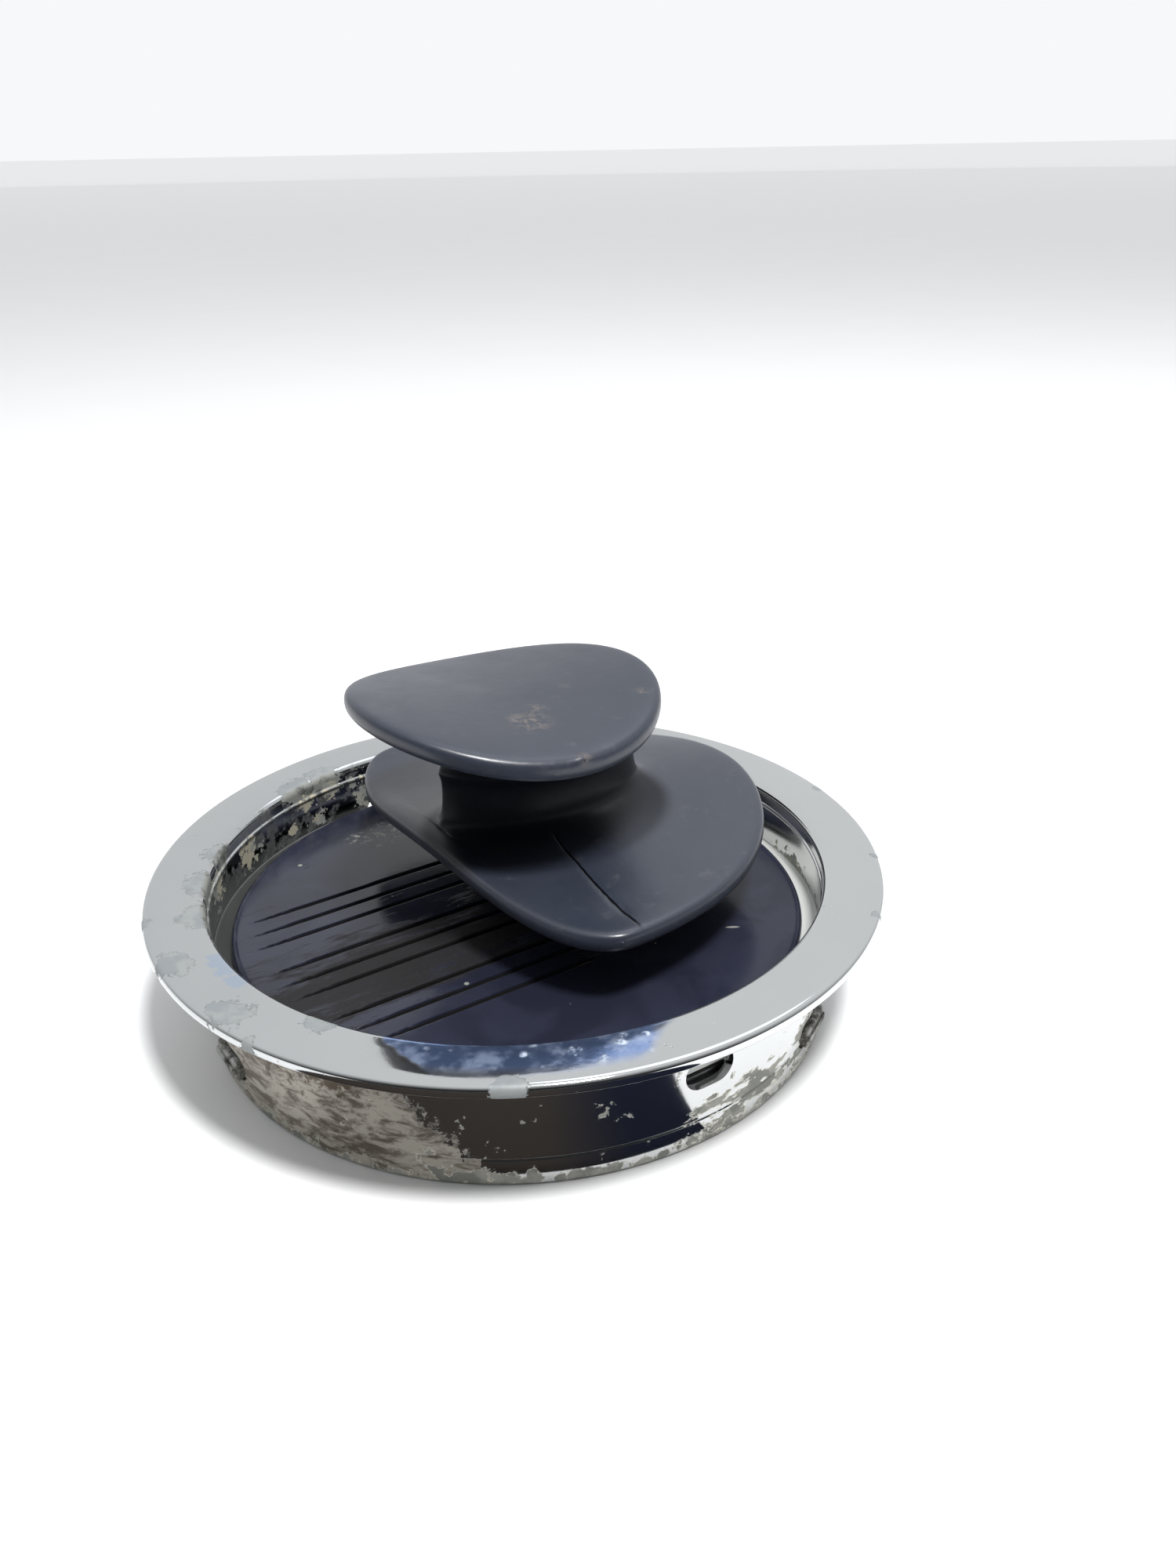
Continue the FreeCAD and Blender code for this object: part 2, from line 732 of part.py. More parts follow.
def build_circlip():
    body = new_body("stem_circlip")
    sketch = sketch_on(body, "circlip_outline", "XY_Plane", (0, 0, clip_bottom))
    circle(sketch, 0, 0, stem_radius + 1.1)
    circle(sketch, 0, 0, clip_floor + running_gap)
    pad(body, "circlip_pad", sketch, clip_top - clip_bottom)
    gap = sketch_on(body, "circlip_gap_outline", "XY_Plane", (0, 0, clip_top))
    reach = stem_radius + 2
    polygon(gap, [(0, 0), (reach, -1.6), (reach, 1.6)])
    pocket(body, "circlip_gap", gap, clip_top - clip_bottom)


# ---------------------------------------------------------------- closure disc and its seal

disc_radius = wall_radius - size("disc_gap")
disc_shoulder = disc_bottom + size("disc_rim_height")
disc_top = disc_shoulder + size("disc_crown")
seal_outer = disc_radius - size("seal_inset")
seal_inner = seal_outer - size("seal_width")
pattern_turn = size("pattern_turn")
post_spread = size("post_spread")
head_radius = size("grip_head_radius")
head_clearance = 0.25
pocket_floor = disc_bottom - 0.1
boss_radius = post_spread + head_radius + head_clearance + size("boss_rim")


def disc_outline():
    """Radius and level points: flat underside with its boss, round rim, crowned top in short chords."""
    crown_steps = 6
    rim = disc_radius - size("disc_edge_round") * 0.2
    points = [
        (0, boss_bottom),
        (boss_radius, boss_bottom),
        (boss_radius, disc_bottom),
        (seal_inner, disc_bottom),
        (seal_inner, disc_bottom + size("seal_groove")),
        (seal_outer, disc_bottom + size("seal_groove")),
        (seal_outer, disc_bottom),
        (disc_radius - 0.4, disc_bottom),
        (disc_radius, disc_bottom + 0.4),
        (disc_radius, disc_shoulder),
    ]
    for step in range(1, crown_steps):
        share = 1 - step / crown_steps
        points.append((rim * share, disc_top - size("disc_crown") * (share * share)))
    points.append((0, disc_top))
    return points


def build_cover_disc():
    body = new_body("cover_disc")
    shape = revolve(body, "disc_turned", disc_outline())
    fillet(body, "disc_rim", shape, [(disc_radius, disc_shoulder)], size("disc_edge_round"))
    grooves = sketch_on(body, "groove_outline", "XY_Plane", (0, 0, disc_top), pattern_turn)
    half = size("groove_width") / 2
    reach = disc_radius - size("groove_margin")
    taper = size("groove_taper")
    for group in (-1, 0, 1):
        for line in (-1, 0, 1):
            middle = (group * size("groove_group_pitch") + line * size("groove_pitch")
                      - size("groove_shift"))
            start = -(reach * reach - middle * middle).root()
            polygon(grooves, [
                (start, middle - 0.08),
                (start + taper, middle - half),
                (-2.5, middle - half),
                (0, middle - 0.3 * half),
                (0, middle + 0.3 * half),
                (-2.5, middle + half),
                (start + taper, middle + half),
                (start, middle + 0.08),
            ])
    pocket(body, "grooves", grooves, size("groove_depth"))
    thread = sketch_on(body, "thread_outline", "XY_Plane",
                       (0, 0, boss_bottom + size("stem_thread_length")))
    circle(thread, 0, 0, thread_radius)
    pocket(body, "thread", thread, size("stem_thread_length"))
    heads = sketch_on(body, "head_pocket_outline", "XY_Plane", (0, 0, pocket_floor), pattern_turn)
    for side in (-1, 1):
        circle(heads, 0, side * post_spread, head_radius + head_clearance)
    pocket(body, "head_pockets", heads, pocket_floor - boss_bottom)
    shanks = sketch_on(body, "shank_hole_outline", "XY_Plane", (0, 0, disc_top), pattern_turn)
    for side in (-1, 1):
        circle(shanks, 0, side * post_spread, size("grip_screw_radius"))
    pocket(body, "shank_holes", shanks, disc_top - boss_bottom)


def build_disc_seal():
    body = new_body("disc_seal")
    revolve(body, "seal_turned", [
        (seal_inner, disc_bottom + size("seal_groove")),
        (seal_inner, disc_bottom),
        (seal_inner + 0.5, seat_level + size("seal_lift")),
        (seal_outer - 0.5, seat_level + size("seal_lift")),
        (seal_outer, disc_bottom),
        (seal_outer, disc_bottom + size("seal_groove")),
    ])


def post_place(side):
    """Plan position of a grip post: square to the groove direction."""
    return on_ring(side * post_spread, pattern_turn + 90)


def build_grip_fasteners():
    screws = []
    washers = []
    washer_top = pocket_floor
    washer_bottom = washer_top - size("grip_washer_thickness")
    for side in (-1, 1):
        x, y = post_place(side)
        name = "grip_screw_%d" % (side + 1)
        screws.append(screw(name, x, y, size("grip_screw_radius"), washer_bottom - 0.1,
                            disc_top + size("grip_screw_reach") - 0.5, head_radius,
                            washer_bottom - size("grip_head_height"), washer_bottom))
        ring = doc.addObject("Part::Cut", "grip_washer_%d" % (side + 1))
        ring.Base = primitive("Part::Cylinder", "washer_disc",
                              {"Radius": head_radius + 0.1, "Height": size("grip_washer_thickness")},
                              (x, y, washer_bottom))
        ring.Tool = primitive("Part::Cylinder", "washer_bore",
                              {"Radius": size("grip_screw_radius"), "Height": size("grip_washer_thickness")},
                              (x, y, washer_bottom))
        washers.append(ring)
    NODES.append(joined("Part::Compound", "grip_screws", screws))
    NODES.append(joined("Part::Compound", "grip_washers", washers))


# ---------------------------------------------------------------- grip

def number(alias):
    return float(sheet.get(alias))


def half_round_plan(angle, back, front, half):
    """Plan outline as (along, across): one half ellipse to the back and a flatter one to the front."""
    along = (back if math.cos(angle) > 0 else front) * math.cos(angle)
    return along, half * math.sin(angle)


def low_surface(along, across):
    """Mid level of the lower plate: its two ends across the grip hang down."""
    droop = number("low_plate_droop") * across ** 2
    flare = number("low_plate_flare") * across ** 4
    return disc_top.number + number("low_plate_rise") - droop + flare


def top_surface(along, across):
    """Mid level of the top plate: a saddle, high along the grip and low across it."""
    raised = number("top_plate_raise") * along ** 2
    droop = number("top_plate_droop") * across ** 2
    turn = math.radians(number("pattern_turn"))
    tilt = number("top_plate_tilt") * (along * math.cos(turn) - across * math.sin(turn))
    return disc_top.number + number("top_plate_rise") + raised - droop + tilt


def grip_rings():
    """Control rings from the lower plate's underside up to the top plate's crown.

    Each ring is (plan function, level function), both of the angle round the grip.
    """
    low_edge = number("low_plate_edge")
    top_edge = number("top_plate_edge")
    rings = []

    def low_ring(share, grow, offset):
        def place(angle):
            along, across = half_round_plan(angle, number("low_plate_back") * share + grow,
                                            number("low_plate_front") * share + grow,
                                            number("low_plate_half") * share + grow)
            return along + number("low_plate_shift"), across, low_surface(along, across) + offset
        rings.append(place)

    def top_ring(share, grow, offset):
        def place(angle):
            along = (number("top_plate_long") * share + grow) * math.cos(angle)
            across = (number("top_plate_half") * share + grow) * math.sin(angle)
            return along + number("top_plate_shift"), across, top_surface(along, across) + offset
        rings.append(place)

    def neck_ring(grow, share_up):
        """Neck outline, its level running from the lower plate (0) to the top plate (1)."""
        def place(angle):
            along = number("neck_shift") + (number("neck_long") + grow) * math.cos(angle)
            across = number("neck_side_shift") + (number("neck_half") + grow) * math.sin(angle)
            low = low_surface(along, across) + low_edge
            top = top_surface(along, across) - top_edge
            return along, across, low + (top - low) * share_up
        rings.append(place)

    low_ring(0.0, 0.0, -low_edge)
    low_ring(0.35, 0.0, -low_edge)
    low_ring(0.8, 0.0, -low_edge)
    low_ring(1.0, 0.0, -low_edge)
    low_ring(1.0, low_edge, -0.8 * low_edge)
    low_ring(1.0, low_edge, 0.8 * low_edge)
    low_ring(1.0, 0.0, low_edge)
    low_ring(0.85, 0.0, low_edge)
    neck_ring(4.2, 0.0)
    neck_ring(0.6, 0.06)
    neck_ring(-0.4, 0.28)
    neck_ring(-0.3, 0.44)
    neck_ring(number("neck_ridge"), 0.5)
    neck_ring(-0.3, 0.56)
    neck_ring(-0.6, 0.74)
    neck_ring(0.2, 0.96)
    top_ring(0.86, 0.0, -top_edge)
    top_ring(1.0, 0.0, -top_edge)
    top_ring(1.0, top_edge, -0.8 * top_edge)
    top_ring(1.0, top_edge, 0.8 * top_edge)
    top_ring(1.0, 0.0, top_edge)
    top_ring(0.8, 0.0, top_edge)
    top_ring(0.35, 0.0, top_edge)
    top_ring(0.0, 0.0, top_edge)
    return rings


def smooth_skin(rings, spokes):
    """One closed cubic surface: periodic round the grip, clamped from its bottom to its top point."""
    poles = []
    for spoke in range(spokes):
        angle = 2 * math.pi * spoke / spokes
        poles.append([FreeCAD.Vector(*place(angle)) for place in rings])
    degree = 3
    spans = len(rings) - degree
    surface = Part.BSplineSurface()
    surface.buildFromPolesMultsKnots(
        poles,
        [1] * (spokes + 1), [degree + 1] + [1] * (spans - 1) + [degree + 1],
        [float(knot) for knot in range(spokes + 1)], [float(knot) for knot in range(spans + 1)],
        True, False, degree, degree)
    return surface


def build_grip():
    spokes = 32
    quarter = spokes // 4
    quarters = []
    for start in range(0, spokes, quarter):
        skin = smooth_skin(grip_rings(), spokes)
        low, high = skin.getVKnots()[0], skin.getVKnots()[-1]
        skin.segment(start, start + quarter, low, high)
        quarters.append(skin.toShape())
    shell = Part.Compound(quarters)
    shell.sewShape()
    moulding = Part.Solid(shell.Shells[0] if shell.Shells else Part.Shell(shell.Faces))
    if moulding.Volume < 0:
        moulding.reverse()
    turn = FreeCAD.Rotation(FreeCAD.Vector(0, 0, 1), number("pattern_turn"))
    moulding.Placement = FreeCAD.Placement(FreeCAD.Vector(), turn)
    seat = disc_top.number + 0.02
    height = disc_top.number + number("low_plate_rise") - seat
    for side in (-1, 1):
        x, y = post_place(side)
        foot = FreeCAD.Vector(x.number, y.number, seat)
        moulding = moulding.fuse(Part.makeCylinder(number("post_radius"), height, foot))
    for side in (-1, 1):
        x, y = post_place(side)
        foot = FreeCAD.Vector(x.number, y.number, seat)
        reach = number("grip_screw_reach")
        moulding = moulding.cut(Part.makeCylinder(number("grip_screw_radius"), reach, foot))
    grip = doc.addObject("Part::Feature", "grip")
    grip.Label = "grip"
    grip.Shape = moulding
    NODES.append(grip)


# ---------------------------------------------------------------- assembly

build_trim_ring()
build_hub_spider()
build_clip_hoop()
for clip_label, clip_angle in CLIP_ANGLES.items():
    build_snap_clip(clip_label, clip_angle)
build_clip_rivets()
build_strainer()
build_strainer_screws()
build_rubber_ring("lift_o_ring", bore + ring_section, lift_ring_level)
build_lift_collar()
build_stem()
build_rubber_ring("stem_o_ring", stem_radius - ring_section, stem_ring_level)
washer("thrust_washer", stem_radius + 0.1, collar_radius - 0.1, collar_top + running_gap,
       boss_bottom - collar_top - 2 * running_gap)
washer("stem_washer", stem_radius + 0.1, stem_radius + 2.1, clip_top + running_gap, washer_thickness)
build_circlip()
build_cover_disc()
build_disc_seal()
build_grip_fasteners()
build_grip()
doc.recompute()

# ---------------------------------------------------------------- checks and export

for thing in doc.Objects:
    bad = [state for state in thing.State if state in ("Invalid", "Error")]
    if bad:
        raise RuntimeError("%s: %s" % (thing.Label, bad))
for node in NODES:
    if node.Shape.isNull() or not node.Shape.isValid():
        raise RuntimeError("%s has no valid shape" % node.Label)

os.makedirs("parts", exist_ok=True)
for node in NODES:
    node.Shape.exportStep(os.path.join("parts", node.Label + ".step"))
    box = node.Shape.BoundBox
    print("%-18s solids %d  volume %9.1f  z %.2f..%.2f" % (
        node.Label, len(node.Shape.Solids), node.Shape.Volume, box.ZMin, box.ZMax))
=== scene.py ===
import bpy
import bmesh
import math
import numpy as np
from mathutils import Matrix, Vector


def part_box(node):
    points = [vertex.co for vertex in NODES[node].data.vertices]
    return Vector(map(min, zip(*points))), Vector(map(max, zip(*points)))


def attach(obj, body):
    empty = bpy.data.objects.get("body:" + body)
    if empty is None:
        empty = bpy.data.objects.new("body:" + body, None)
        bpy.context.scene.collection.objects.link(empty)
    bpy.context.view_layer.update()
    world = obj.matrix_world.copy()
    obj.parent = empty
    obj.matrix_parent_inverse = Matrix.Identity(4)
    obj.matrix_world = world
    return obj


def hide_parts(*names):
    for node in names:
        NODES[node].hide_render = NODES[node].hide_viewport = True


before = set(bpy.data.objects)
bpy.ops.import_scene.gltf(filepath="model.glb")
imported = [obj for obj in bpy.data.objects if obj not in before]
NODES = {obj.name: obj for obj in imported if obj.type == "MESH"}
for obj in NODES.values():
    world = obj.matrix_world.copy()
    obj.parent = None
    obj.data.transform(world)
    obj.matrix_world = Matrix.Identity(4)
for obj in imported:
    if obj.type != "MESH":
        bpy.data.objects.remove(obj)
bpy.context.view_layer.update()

MM = 0.001
scene = bpy.context.scene
scene.view_settings.view_transform = "Standard"


def mm_box(node):
    """A CAD node's lowest and highest corners in millimetres."""
    low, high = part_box(node)
    return low / MM, high / MM


_, RING_HIGH = mm_box("trim_ring")
DISC_LOW, DISC_HIGH = mm_box("cover_disc")
FLANGE_RADIUS = RING_HIGH.x
RING_TOP = RING_HIGH.z
DISC_RADIUS = DISC_HIGH.x
DISC_TOP = DISC_HIGH.z
SMOOTH_ANGLE = 40

# Ring sizes in millimetres that no CAD box gives.
SKIRT_RADIUS = 49.6
WALL_RADIUS = 48.2
SEAT_RADIUS = 40.5
SEAT_LEVEL = 12.7
SEAT_THICKNESS = 1.6
FLANGE_THICKNESS = 2.1
BEAD_DROP = 3.0
BEAD_SIZE = 0.4
LINE_LEVEL = 4.3
FOOT_STEP = 0.18
SLOT_LEVEL = 5.1
SLOT_WIDTH = 9.6
SLOT_HEIGHT = 4.4
SLOT_DEGREES = (-150, -30, 90)
SLOT_CUT = (46.5, 52.0)
WEEP_LEVEL = 12.2
WEEP_WIDTH = 8.2
WEEP_HEIGHT = 5.2
WEEP_DEGREES = (-60, 120)
WEEP_CUT = (47.6, 52.0)

# Disc sizes.
DISC_CROWN = 0.4
DISC_ROUND = 1.3
GROOVE_REACH = 43.0
GROOVE_INNER_END = 1.6
BOSS_DROP = 2.3
BOSS_RADIUS = 11.0
STEM_HOLE = 3.6
SEAL_INNER = 41.6
SEAL_OUTER = 44.2
SEAL_DEPTH = 0.9

# Grip sizes. Along is the way that the disc's grooves run, and across is square to it.
GRIP_TURN = math.radians(29.5)
CREASE_START = 2.06
CREASE_SLOPE = 0.0714
LOW_EDGE = 1.7
LOW_RISE = 13.5
LOW_SAG = 0.00673
LOW_SAG_EASE = 0.0000034
LOW_LIFT = 0.0042
LOW_LIFT_START = 17.0
LOW_FAR, LOW_NEAR = 42.3, 11.7
LOW_HALF_BACK, LOW_HALF_FRONT = 36.0, 34.0
LOW_MIDDLE = -1.9
LOW_CORNER_POWERS = (0.74, 0.68)
TOP_EDGE = 1.8
TOP_RISE = 33.8
TOP_CUP = 0.0039
TOP_SAG = 0.0040
TOP_TILT = -0.05
TOP_HALF_ALONG, TOP_HALF_ACROSS = 22.4, 20.8
TOP_MIDDLE = -0.7
NECK_MIDDLE = (6.3, 2.0)
NECK_HALF_ALONG, NECK_HALF_ACROSS = 17.7, 8.4
NECK_POWER = 0.35
POST_SPREAD = 6.6
POST_RADIUS = 4.4
POST_HEIGHT = 13.0
RIVET_SPREAD = 7.4


# ---------------------------------------------------------------- mesh helpers

def smoothstep(low, high, x):
    t = np.clip((x - low) / (high - low), 0.0, 1.0)
    return t * t * (3 - 2 * t)


def new_piece(name, vertices, faces, smooth_angle=SMOOTH_ANGLE):
    """A mesh piece from millimetre vertices, smooth but for edges sharper than the angle."""
    mesh = bpy.data.meshes.new(name)
    mesh.from_pydata([tuple(c * MM for c in v) for v in vertices], [], faces)
    mesh.validate()
    shape = bmesh.new()
    shape.from_mesh(mesh)
    bmesh.ops.remove_doubles(shape, verts=shape.verts, dist=0.002 * MM)
    bmesh.ops.recalc_face_normals(shape, faces=shape.faces)
    shape.to_mesh(mesh)
    shape.free()
    piece = bpy.data.objects.new(name, mesh)
    scene.collection.objects.link(piece)
    shade(mesh, smooth_angle)
    return piece


def shade(mesh, smooth_angle):
    mesh.shade_smooth()
    mesh.set_sharp_from_angle(angle=math.radians(smooth_angle))


def rounded(corners, steps=6):
    """A closed outline whose corners (radius, level, rounding) become arcs."""
    outline = []
    count = len(corners)
    for index, (r, z, radius) in enumerate(corners):
        here = np.array([r, z])
        before = np.array(corners[index - 1][:2]) - here
        after = np.array(corners[(index + 1) % count][:2]) - here
        length_a, length_b = np.linalg.norm(before), np.linalg.norm(after)
        before, after = before / length_a, after / length_b
        half = math.acos(np.clip(before @ after, -1, 1)) / 2
        if radius <= 0 or half < 0.02 or half > 1.55:
            outline.append(tuple(here))
            continue
        reach = min(radius / math.tan(half), 0.49 * length_a, 0.49 * length_b)
        radius = reach * math.tan(half)
        inward = (before + after) / np.linalg.norm(before + after)
        centre = here + inward * radius / math.sin(half)
        start, end = here + before * reach - centre, here + after * reach - centre
        turn = math.atan2(start[0] * end[1] - start[1] * end[0], start @ end)
        for step in range(steps + 1):
            a = turn * step / steps
            outline.append((centre[0] + start[0] * math.cos(a) - start[1] * math.sin(a),
                            centre[1] + start[0] * math.sin(a) + start[1] * math.cos(a)))
    return outline


def split_long(outline, longest):
    """The outline with extra points so that no run is longer than given."""
    points = []
    for index, (r, z) in enumerate(outline):
        next_r, next_z = outline[(index + 1) % len(outline)]
        parts = max(1, math.ceil(math.hypot(next_r - r, next_z - z) / longest))
        for part in range(parts):
            points.append((r + (next_r - r) * part / parts, z + (next_z - z) * part / parts))
    return points


def lathe(outline, segments, centre=(0.0, 0.0)):
    """A closed outline turned about the axis."""
    count = len(outline)
    vertices = []
    for segment in range(segments):
        a = 2 * math.pi * segment / segments
        vertices += [(centre[0] + r * math.cos(a), centre[1] + r * math.sin(a), z) for r, z in outline]
    faces = []
    for segment in range(segments):
        base, following = segment * count, (segment + 1) % segments * count
        for index in range(count):
            after = (index + 1) % count
            faces.append((base + index, following + index, following + after, base + after))
    return vertices, faces


def turned_about_axis(points, angle):
    """Points (x, y, z) turned about the object's axis by an angle in radians."""
    cos_a, sin_a = math.cos(angle), math.sin(angle)
    return [(x * cos_a - y * sin_a, x * sin_a + y * cos_a, z) for x, y, z in points]


def cut_away(piece, cutters):
    """Boolean difference, applied, with the cutters removed."""
    for cutter in cutters:
        modifier = piece.modifiers.new("cut", "BOOLEAN")
        modifier.operation = "DIFFERENCE"
        modifier.solver = "EXACT"
        modifier.object = cutter
    graph = bpy.context.evaluated_depsgraph_get()
    mesh = bpy.data.meshes.new_from_object(piece.evaluated_get(graph))
    piece.modifiers.clear()
    piece.data = mesh
    for cutter in cutters:
        bpy.data.objects.remove(cutter)
    shade(mesh, SMOOTH_ANGLE)


def obround_cutter(angle, level, width, height, near, far):
    """A bar of obround section lying along a radius."""
    reach, radius, steps = (width - height) / 2, height / 2, 12
    section = []
    for side in (1, -1):
        for step in range(steps + 1):
            a = math.pi * (step / steps - 0.5)
            section.append((side * (reach + radius * math.cos(a)), side * radius * math.sin(a)))
    points = [(r, across, level + up) for r in (near, far) for across, up in section]
    count = len(section)
    faces = [tuple(range(count)), tuple(range(2 * count - 1, count - 1, -1))]
    faces += [(i, (i + 1) % count, (i + 1) % count + count, i + count) for i in range(count)]
    return new_piece("cutter", turned_about_axis(points, angle), faces)


# ---------------------------------------------------------------- materials

class Look:
    """A Principled material with short calls for its procedural nodes. Lengths are in millimetres."""

    def __init__(self, name, **settings):
        self.material = bpy.data.materials.new(name)
        self.material.use_nodes = True
        self.tree = self.material.node_tree
        self.tree.nodes.clear()
        output = self.add("ShaderNodeOutputMaterial")
        self.shader = self.add("ShaderNodeBsdfPrincipled")
        self.tree.links.new(self.shader.outputs[0], output.inputs["Surface"])
        coordinates = self.add("ShaderNodeTexCoord")
        scale = self.add("ShaderNodeVectorMath", operation="SCALE")
        scale.inputs["Scale"].default_value = 1 / MM
        self.tree.links.new(coordinates.outputs["Object"], scale.inputs[0])
        self.place = scale.outputs[0]
        self.x, self.y, self.z = self.parts(self.place)
        for socket, value in settings.items():
            self.set(socket.replace("_", " "), value)

    def parts(self, vector):
        node = self.add("ShaderNodeSeparateXYZ")
        self.tree.links.new(vector, node.inputs[0])
        return node.outputs

    def add(self, kind, **properties):
        node = self.tree.nodes.new(kind)
        for key, value in properties.items():
            setattr(node, key, value)
        return node

    def plug(self, value, socket):
        if isinstance(value, bpy.types.NodeSocket):
            self.tree.links.new(value, socket)
        elif isinstance(value, (tuple, list)) and len(value) == 3 and socket.type == "RGBA":
            socket.default_value = (*value, 1.0)
        else:
            socket.default_value = value

    def set(self, socket, value):
        self.plug(value, self.shader.inputs[socket])

    def math(self, operation, a, b=0.0, clamp=False):
        node = self.add("ShaderNodeMath", operation=operation, use_clamp=clamp)
        self.plug(a, node.inputs[0])
        self.plug(b, node.inputs[1])
        return node.outputs[0]

    def total(self, *terms):
        out = terms[0]
        for term in terms[1:]:
            out = self.math("ADD", out, term)
        return out

    def times(self, *factors):
        out = factors[0]
        for factor in factors[1:]:
            out = self.math("MULTIPLY", out, factor)
        return out

    def step(self, value, low, high, out_low=0.0, out_high=1.0):
        """A smooth step from out_low at low to out_high at high."""
        node = self.add("ShaderNodeMapRange", interpolation_type="SMOOTHSTEP")
        self.plug(value, node.inputs["Value"])
        limits = {"From Min": low, "From Max": high, "To Min": out_low, "To Max": out_high}
        for socket, number in limits.items():
            node.inputs[socket].default_value = number
        return node.outputs[0]

    def stretched(self, scale):
        node = self.add("ShaderNodeMapping")
        self.tree.links.new(self.place, node.inputs["Vector"])
        node.inputs["Scale"].default_value = scale
        return node.outputs[0]

    def turned(self, angle):
        """The place turned about the object's axis by an angle in radians."""
        node = self.add("ShaderNodeVectorRotate", rotation_type="Z_AXIS")
        self.plug(self.place, node.inputs["Vector"])
        node.inputs["Angle"].default_value = angle
        return node.outputs[0]

    def noise(self, size, detail=4.0, roughness=0.55, place=None, distortion=0.0, shift=0.0):
        """Noise from 0 to 1 whose features are about size millimetres across."""
        node = self.add("ShaderNodeTexNoise", noise_dimensions="4D")
        self.tree.links.new(place or self.place, node.inputs["Vector"])
        node.inputs["Scale"].default_value = 1 / size
        node.inputs["Detail"].default_value = detail
        node.inputs["Roughness"].default_value = roughness
        node.inputs["Distortion"].default_value = distortion
        node.inputs["W"].default_value = shift
        return node.outputs[0]

    def cells(self, size, place=None, feature="F1"):
        node = self.add("ShaderNodeTexVoronoi", feature=feature)
        self.tree.links.new(place or self.place, node.inputs["Vector"])
        node.inputs["Scale"].default_value = 1 / size
        return node.outputs["Distance"]

    def blob(self, point, radius, squash=(1, 1, 1)):
        """1 at a point, falling to 0 at a radius from it."""
        shifted = self.add("ShaderNodeVectorMath", operation="SUBTRACT")
        self.tree.links.new(self.place, shifted.inputs[0])
        shifted.inputs[1].default_value = point
        scaled = self.add("ShaderNodeVectorMath", operation="MULTIPLY")
        self.tree.links.new(shifted.outputs[0], scaled.inputs[0])
        scaled.inputs[1].default_value = squash
        length = self.add("ShaderNodeVectorMath", operation="LENGTH")
        self.tree.links.new(scaled.outputs[0], length.inputs[0])
        return self.math("SUBTRACT", 1.0, self.math("DIVIDE", length.outputs["Value"], radius), clamp=True)

    def blobs(self, rows):
        """The most of several blobs, each from its radius, degrees, level, reach and squash upwards."""
        return self.most([self.blob(on_ring(radius, degrees, level), reach, (1, 1, squash))
                          for radius, degrees, level, reach, squash in rows])

    def most(self, values):
        out = values[0]
        for value in values[1:]:
            out = self.math("MAXIMUM", out, value)
        return out

    def mix(self, factor, a, b):
        """Colour or number mix, by what a is."""
        colour = isinstance(a, (tuple, list)) or (isinstance(a, bpy.types.NodeSocket) and a.type == "RGBA")
        node = self.add("ShaderNodeMix", data_type="RGBA" if colour else "FLOAT")
        index = {True: (6, 7, 2), False: (2, 3, 0)}[colour]
        self.plug(factor, node.inputs[0])
        self.plug(a, node.inputs[index[0]])
        self.plug(b, node.inputs[index[1]])
        return node.outputs[index[2]]

    def bump(self, height, depth):
        """Bump from a 0 to 1 height that is depth millimetres tall."""
        node = self.add("ShaderNodeBump")
        node.inputs["Strength"].default_value = 1.0
        node.inputs["Distance"].default_value = depth * MM
        self.tree.links.new(height, node.inputs["Height"])
        self.tree.links.new(node.outputs[0], self.shader.inputs["Normal"])

    def radius(self):
        return self.math("SQRT", self.total(self.times(self.x, self.x), self.times(self.y, self.y)))


def on_ring(radius, degrees, level):
    a = math.radians(degrees)
    return radius * math.cos(a), radius * math.sin(a), level


